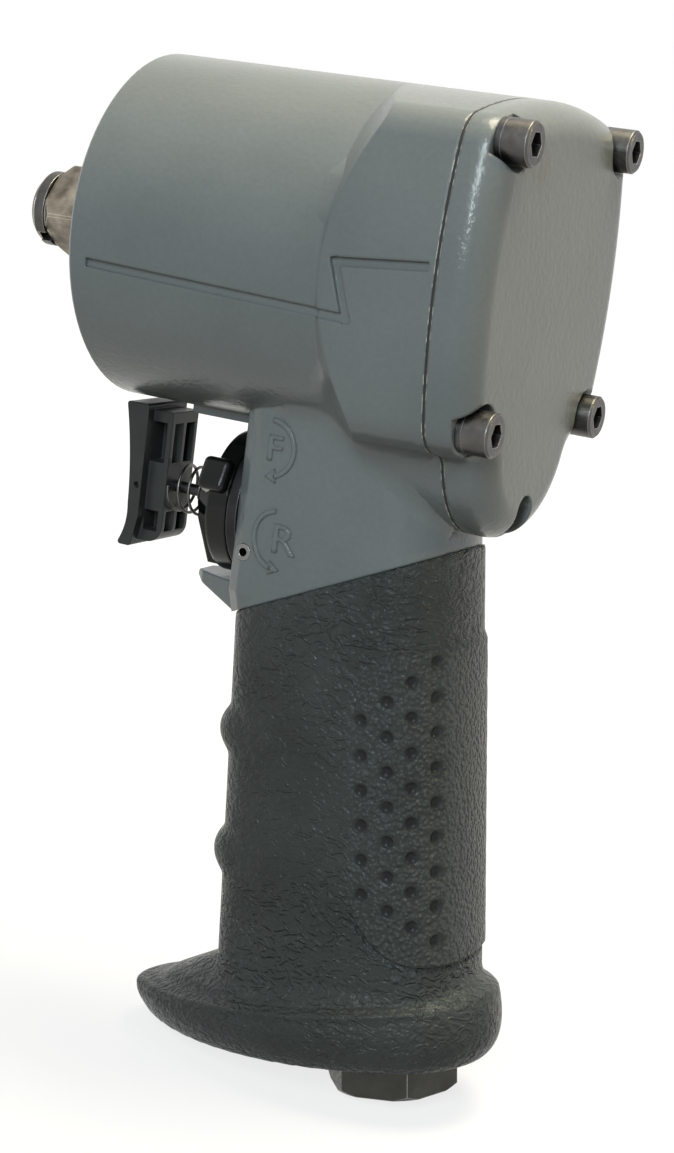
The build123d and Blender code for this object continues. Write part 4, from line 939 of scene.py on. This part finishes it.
def worked_metal(
    name, tone, roughness, ring_axis=None, wear=WORN_STEEL, wear_share=0.5, mark_size=0.8, dark_share=0.7
):
    """Metal with worn edges, marks of a size, and turned rings across an axis if one is given."""
    material, tree, shader, place = new_finish(name, roughness, metallic=1.0)
    darker = tuple(dark_share * level for level in tone)
    colour = ramp(tree, grain(tree, place, 4, 4), (0.32, darker), (0.68, tone))
    edge = product(tree, edge_share(tree, 0.3), wear_share)
    dulled = spread(tree, grain(tree, place, mark_size, 4), 0.3, 0.7, roughness * 0.8, roughness * 1.25)
    normal = soft_edge(tree, 0.25)
    if ring_axis is not None:
        squeeze = [ALONG_RINGS] * 3
        squeeze[ring_axis] = ACROSS_RINGS
        squeezed = add(tree, "Mapping", {"Vector": place, "Scale": squeeze}).outputs["Vector"]
        rings = add(tree, "TexNoise", {"Vector": squeezed, "Scale": 1.0, "Detail": 3.0}).outputs["Fac"]
        normal = bumps(tree, rings, 0.02, 0.35, normal)
    inputs = {
        "Base Color": mixed(tree, edge, colour, wear),
        "Roughness": dulled,
        "Normal": bumps(tree, grain(tree, place, mark_size, 3), 0.03, 0.25, normal),
    }
    plug(tree, shader, inputs)
    return material


# %% [markdown]
# Seals, the gasket and the motor's vanes are seldom seen, but each still gets its own grain: dull rubber,
# pressed fibre and a brown laminate with its layers.


# %% Seals, gasket and vanes
def dull_sheet(name, tone, size, depth):
    """Dull rubber or fibre with specks of a size and a depth."""
    material, tree, shader, place = new_finish(name, 0.75, specular=0.3)
    speck = grain(tree, place, size, 4)
    darker = tuple(0.6 * level for level in tone)
    colour = ramp(tree, speck, (0.3, darker), (0.7, tone))
    plug(tree, shader, {"Base Color": colour, "Normal": bumps(tree, speck, depth, 0.5)})
    return material


def vane_laminate():
    """Brown laminate with thin layers."""
    material, tree, shader, place = new_finish("vane_laminate", 0.5)
    waves = {"Vector": place, "Scale": 1200.0, "Distortion": 3.0, "Detail": 2.0}
    layers = add(tree, "TexWave", waves, bands_direction="X").outputs["Fac"]
    browns = ramp(tree, layers, (0.2, (0.20, 0.105, 0.05)), (0.8, (0.32, 0.18, 0.09)))
    plug(tree, shader, {"Base Color": browns, "Normal": bumps(tree, layers, 0.03, 0.3)})
    return material


# %% [markdown]
# ## Which piece gets which finish
# Outside, the tool is paint, rubber, black plastic and dark steel. Inside, the moving parts are ground or
# turned steel, the motor's cylinder is cast iron, its plates are bare aluminium and the bushing is bronze.
# A loaded piece already has a place for its material, so the finish only has to be put there.

# %% Make the finishes
loaded_materials = len(bpy.data.materials)
paint = grey_paint()
rubber = moulded_rubber()
black_oxide = worked_metal("black_oxide", (0.075, 0.075, 0.078), 0.4, wear=(0.3, 0.3, 0.3), wear_share=0.45)
screw_steel = worked_metal(
    "screw_steel", (0.105, 0.101, 0.096), 0.38, wear=(0.4, 0.4, 0.39), wear_share=0.6
)
spring_steel = worked_metal("spring_steel", (0.13, 0.127, 0.122), 0.35, wear_share=0.1)
pin_steel = worked_metal("pin_steel", (0.22, 0.22, 0.215), 0.32)
inlet_steel = worked_metal("inlet_steel", (0.058, 0.058, 0.052), 0.42, wear_share=0.8)
drive_steel = worked_metal(
    "drive_steel",
    (0.33, 0.295, 0.24),
    0.4,
    ring_axis=0,
    wear=(0.8, 0.77, 0.68),
    wear_share=0.9,
    dark_share=0.3,
)
bright_steel = worked_metal("bright_steel", (0.62, 0.62, 0.61), 0.25)
bronze = worked_metal("bronze", (0.55, 0.36, 0.18), 0.38, ring_axis=0)
cast_iron = worked_metal("cast_iron", (0.2, 0.2, 0.2), 0.55, mark_size=1.4)
bare_aluminium = worked_metal("bare_aluminium", (0.68, 0.68, 0.69), 0.34, ring_axis=0)
black_anodised = worked_metal("black_anodised", (0.03, 0.03, 0.032), 0.4, wear_share=0.2)
trigger_plastic = black_plastic(
    "trigger_plastic", (0.030, 0.0335, 0.0325), roughness=0.34, specular=0.24, texture=0.35, edge_r=0.4
)
dial_plastic = black_plastic(
    "dial_plastic", (0.004, 0.0045, 0.0045), roughness=0.07, specular=0.24, texture=0.05, edge_r=0.8
)
seal_rubber = dull_sheet("seal_rubber", (0.022, 0.022, 0.022), size=0.8, depth=0.04)
gasket_sheet = dull_sheet("gasket_sheet", (0.035, 0.034, 0.032), size=0.5, depth=0.04)
laminate = vane_laminate()
print("finishes made:", len(bpy.data.materials) - loaded_materials)

# %% Give every piece its finish
FINISHES = {
    "housing": paint,
    "rear_cover": paint,
    "cover_gasket": gasket_sheet,
    "cover_screws": screw_steel,
    "cover_lock_washers": black_oxide,
    "anvil_bushing": bronze,
    "nose_seal": seal_rubber,
    "anvil": drive_steel,
    "friction_ring": screw_steel,
    "ring_cushion": seal_rubber,
    "hammer_cage": drive_steel,
    "hammer_pins": bright_steel,
    "front_hammer": drive_steel,
    "rear_hammer": drive_steel,
    "front_bearing_outer_race": bright_steel,
    "front_bearing_inner_race": bright_steel,
    "front_bearing_balls": bright_steel,
    "rear_bearing_outer_race": bright_steel,
    "rear_bearing_inner_race": bright_steel,
    "rear_bearing_balls": bright_steel,
    "motor_cylinder": cast_iron,
    "front_end_plate": bare_aluminium,
    "rear_end_plate": bare_aluminium,
    "cylinder_dowel": bright_steel,
    "rotor": drive_steel,
    "rotor_vanes": laminate,
    "grip_sleeve": rubber,
    "exhaust_plate": black_anodised,
    "exhaust_muffler": bronze,
    "inlet_bushing": inlet_steel,
    "inlet_seal": seal_rubber,
    "inlet_screen": bright_steel,
    "throttle_seat": bare_aluminium,
    "throttle_valve": drive_steel,
    "throttle_spring": bright_steel,
    "valve_sleeve": black_anodised,
    "sleeve_seals": seal_rubber,
    "reverse_valve": bare_aluminium,
    "valve_pin": pin_steel,
    "detent_ball": bright_steel,
    "detent_spring": bright_steel,
    "reverse_dial": dial_plastic,
    "trigger": trigger_plastic,
    "trigger_stem": black_oxide,
    "trigger_pin": black_oxide,
    "trigger_spring": bright_steel,
}
for name, piece in nodes.items():
    for holder in piece.material_slots:
        holder.material = FINISHES[name]
print("pieces with a finish:", len(FINISHES), "of", len(nodes))

# %% [markdown]
# ## Fitting the modelled pieces to the tool
# Each modelled piece rides on the body it belongs to. The grip and the springs take the place of their
# plain solids. The trigger spring rides on the trigger, though its back end rests on the dial.

# %% Ride and replace
MODELLED = [  # piece, body, finish, record's slot, solids it stands for
    (runout, "housing", paint, "grey_paint", []),
    (neck_marks, "housing", paint, "grey_paint", []),
    (grip, "housing", rubber, "grip_rubber", ["grip_sleeve"]),
    (trigger_spring, "trigger", spring_steel, "bright_steel", ["trigger_spring"]),
    (throttle_spring, "housing", spring_steel, "bright_steel", ["throttle_spring"]),
    (detent_spring, "housing", spring_steel, "bright_steel", ["detent_spring"]),
]
for piece, body, finish, slot, stands_for in MODELLED:
    piece.data.materials.clear()
    piece.data.materials.append(finish)
    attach(piece, body)
    if stands_for:
        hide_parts(*stands_for)
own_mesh(trigger_spring)
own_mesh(throttle_spring)
print("modelled pieces fitted:", len(MODELLED))

# %% [markdown]
# ## Floor, light and camera
# The photograph shows the tool on plain white. To the light the floor is a mid grey, so that little bounces
# up under the tool. A glow that only the camera and mirrors see lifts it to white, a little less near the
# tool, so that its soft shadow stays. The world works in the same way: white to look at, gentle as a light.

# %% Floor and world
WORLD_LIGHT = 0.2
WORLD_TONE = (0.96, 0.99, 1.0, 1)
WHITE = (1, 1, 1, 1)
FLOOR_SIZE = 30  # metres
FLOOR_GAP = 0.3  # between the tool and the floor
FLOOR_DARK, FLOOR_LIGHT = (0.19, 0.19, 0.19), (0.22, 0.22, 0.22)
NEAR, FAR = 0.1, 0.8  # metres from the floor's middle, between which the glow grows
NEAR_GLOW, FAR_GLOW = 0.78, 0.97


def looked_at(tree):
    """Share that is 1 for what the camera sees straight, in a mirror or through glass."""
    path = add(tree, "LightPath").outputs
    share = path["Is Camera Ray"]
    for way in ("Is Glossy Ray", "Is Transmission Ray"):
        share = add(tree, "Math", {0: share, 1: path[way]}, operation="MAXIMUM").outputs[0]
    return share


bpy.ops.mesh.primitive_plane_add(size=FLOOR_SIZE, location=(0, 0, cad_low.z - FLOOR_GAP * MM))
floor = bpy.context.object
floor.name = "floor"
pale, tree, shader, place = new_finish("pale_floor", 0.7, specular=0.0)
away = add(tree, "VectorMath", {0: place}, operation="LENGTH").outputs["Value"]
glow = spread(tree, away, NEAR, FAR, NEAR_GLOW, FAR_GLOW)
inputs = {
    "Base Color": ramp(tree, grain(tree, place, 400, 2), (0.3, FLOOR_DARK), (0.7, FLOOR_LIGHT)),
    "Emission Strength": product(tree, looked_at(tree), glow),
    "Emission Color": WHITE,
}
plug(tree, shader, inputs)
floor.data.materials.append(pale)

world = bpy.data.worlds.new("white_studio")
bpy.context.scene.world = world
world.use_nodes = True
tree = world.node_tree
tree.nodes.clear()
soft = add(tree, "Background", {"Color": WORLD_TONE, "Strength": WORLD_LIGHT})
white = add(tree, "Background", {"Color": WHITE, "Strength": 1.0})
both = add(tree, "MixShader", {"Fac": looked_at(tree), 1: soft.outputs[0], 2: white.outputs[0]})
add(tree, "OutputWorld", {"Surface": both.outputs[0]})
print("floor at mm:", round(floor.location.z / MM, 1), "world light:", WORLD_LIGHT)

# %% [markdown]
# Three lamps make the photograph's light. A broad warm one above lights the drum's top. A tall cool one on
# the left fills the side and draws the streak on the cover's edge. A small warm one far behind has a grid,
# which narrows its beam to the cover.

# %% Lamps
MIDDLE = (-0.05, 0, -0.05)  # metres
COVER = (-0.1, 0, 0.02)  # metres


def softbox(name, place, aim, size, power, tone, beam=180):
    """An area lamp that faces a point, in metres; a grid narrows its beam to an angle in degrees."""
    bpy.ops.object.light_add(type="AREA", location=place)
    lamp = bpy.context.object
    lamp.name = name
    lamp.rotation_euler = (Vector(aim) - Vector(place)).to_track_quat("-Z", "Y").to_euler()
    lamp.data.shape = "RECTANGLE"
    lamp.data.size, lamp.data.size_y = size
    lamp.data.energy = power
    lamp.data.color = tone
    lamp.data.spread = radians(beam)
    print(name, "of", power, "W")


softbox("top_lamp", (-0.15, -0.1, 0.75), MIDDLE, (0.45, 0.45), 11.5, (1.0, 0.90, 0.68))
softbox("rear_lamp", (-0.9, -0.3, 0.45), COVER, (0.12, 0.12), 0.03, (1.0, 0.78, 0.36), beam=16)
softbox("side_lamp", (-0.28, 0.92, 0.40), MIDDLE, (0.20, 0.50), 7.6, (0.85, 0.96, 1.0))

# %% [markdown]
# The camera stands where the photographer stood, behind the tool and to its left. Its place, its three
# turns and its focal length were fitted to the outline in the photograph. A Blender camera looks along its
# own minus Z axis, so its matrix is built from the directions right, up and back.

# %% Camera at the photograph's place
CAMERA_PLACE = (-0.2551, 0.4027, 0.0325)  # metres
AZIMUTH, ELEVATION, ROLL = radians(205.93), radians(11.54), radians(7.17)
FILM = 36  # size of the sensor along the picture's longer side
FOCUS_PIXELS = 2458.3  # focal length in pixels of the photograph
PHOTO_HEIGHT = 1153  # pixels
NEAREST = 0.01  # metres; nothing nearer is drawn
back = Vector((sin(AZIMUTH) * cos(ELEVATION), -cos(AZIMUTH) * cos(ELEVATION), sin(ELEVATION)))
level = Vector((cos(AZIMUTH), sin(AZIMUTH), 0))
upright = back.cross(level)
right = level * cos(ROLL) + upright * sin(ROLL)
up = upright * cos(ROLL) - level * sin(ROLL)
bpy.ops.object.camera_add()
camera = bpy.context.object
camera.name = "photo_camera"
turned = Matrix((right, up, back)).transposed().to_4x4()
camera.matrix_world = Matrix.Translation(CAMERA_PLACE) @ turned
camera.data.sensor_width = FILM
camera.data.lens = FILM * FOCUS_PIXELS / PHOTO_HEIGHT
camera.data.clip_start = NEAREST
bpy.context.scene.camera = camera
bpy.context.scene.view_settings.view_transform = "Standard"
print("focal length in mm:", round(camera.data.lens, 1))
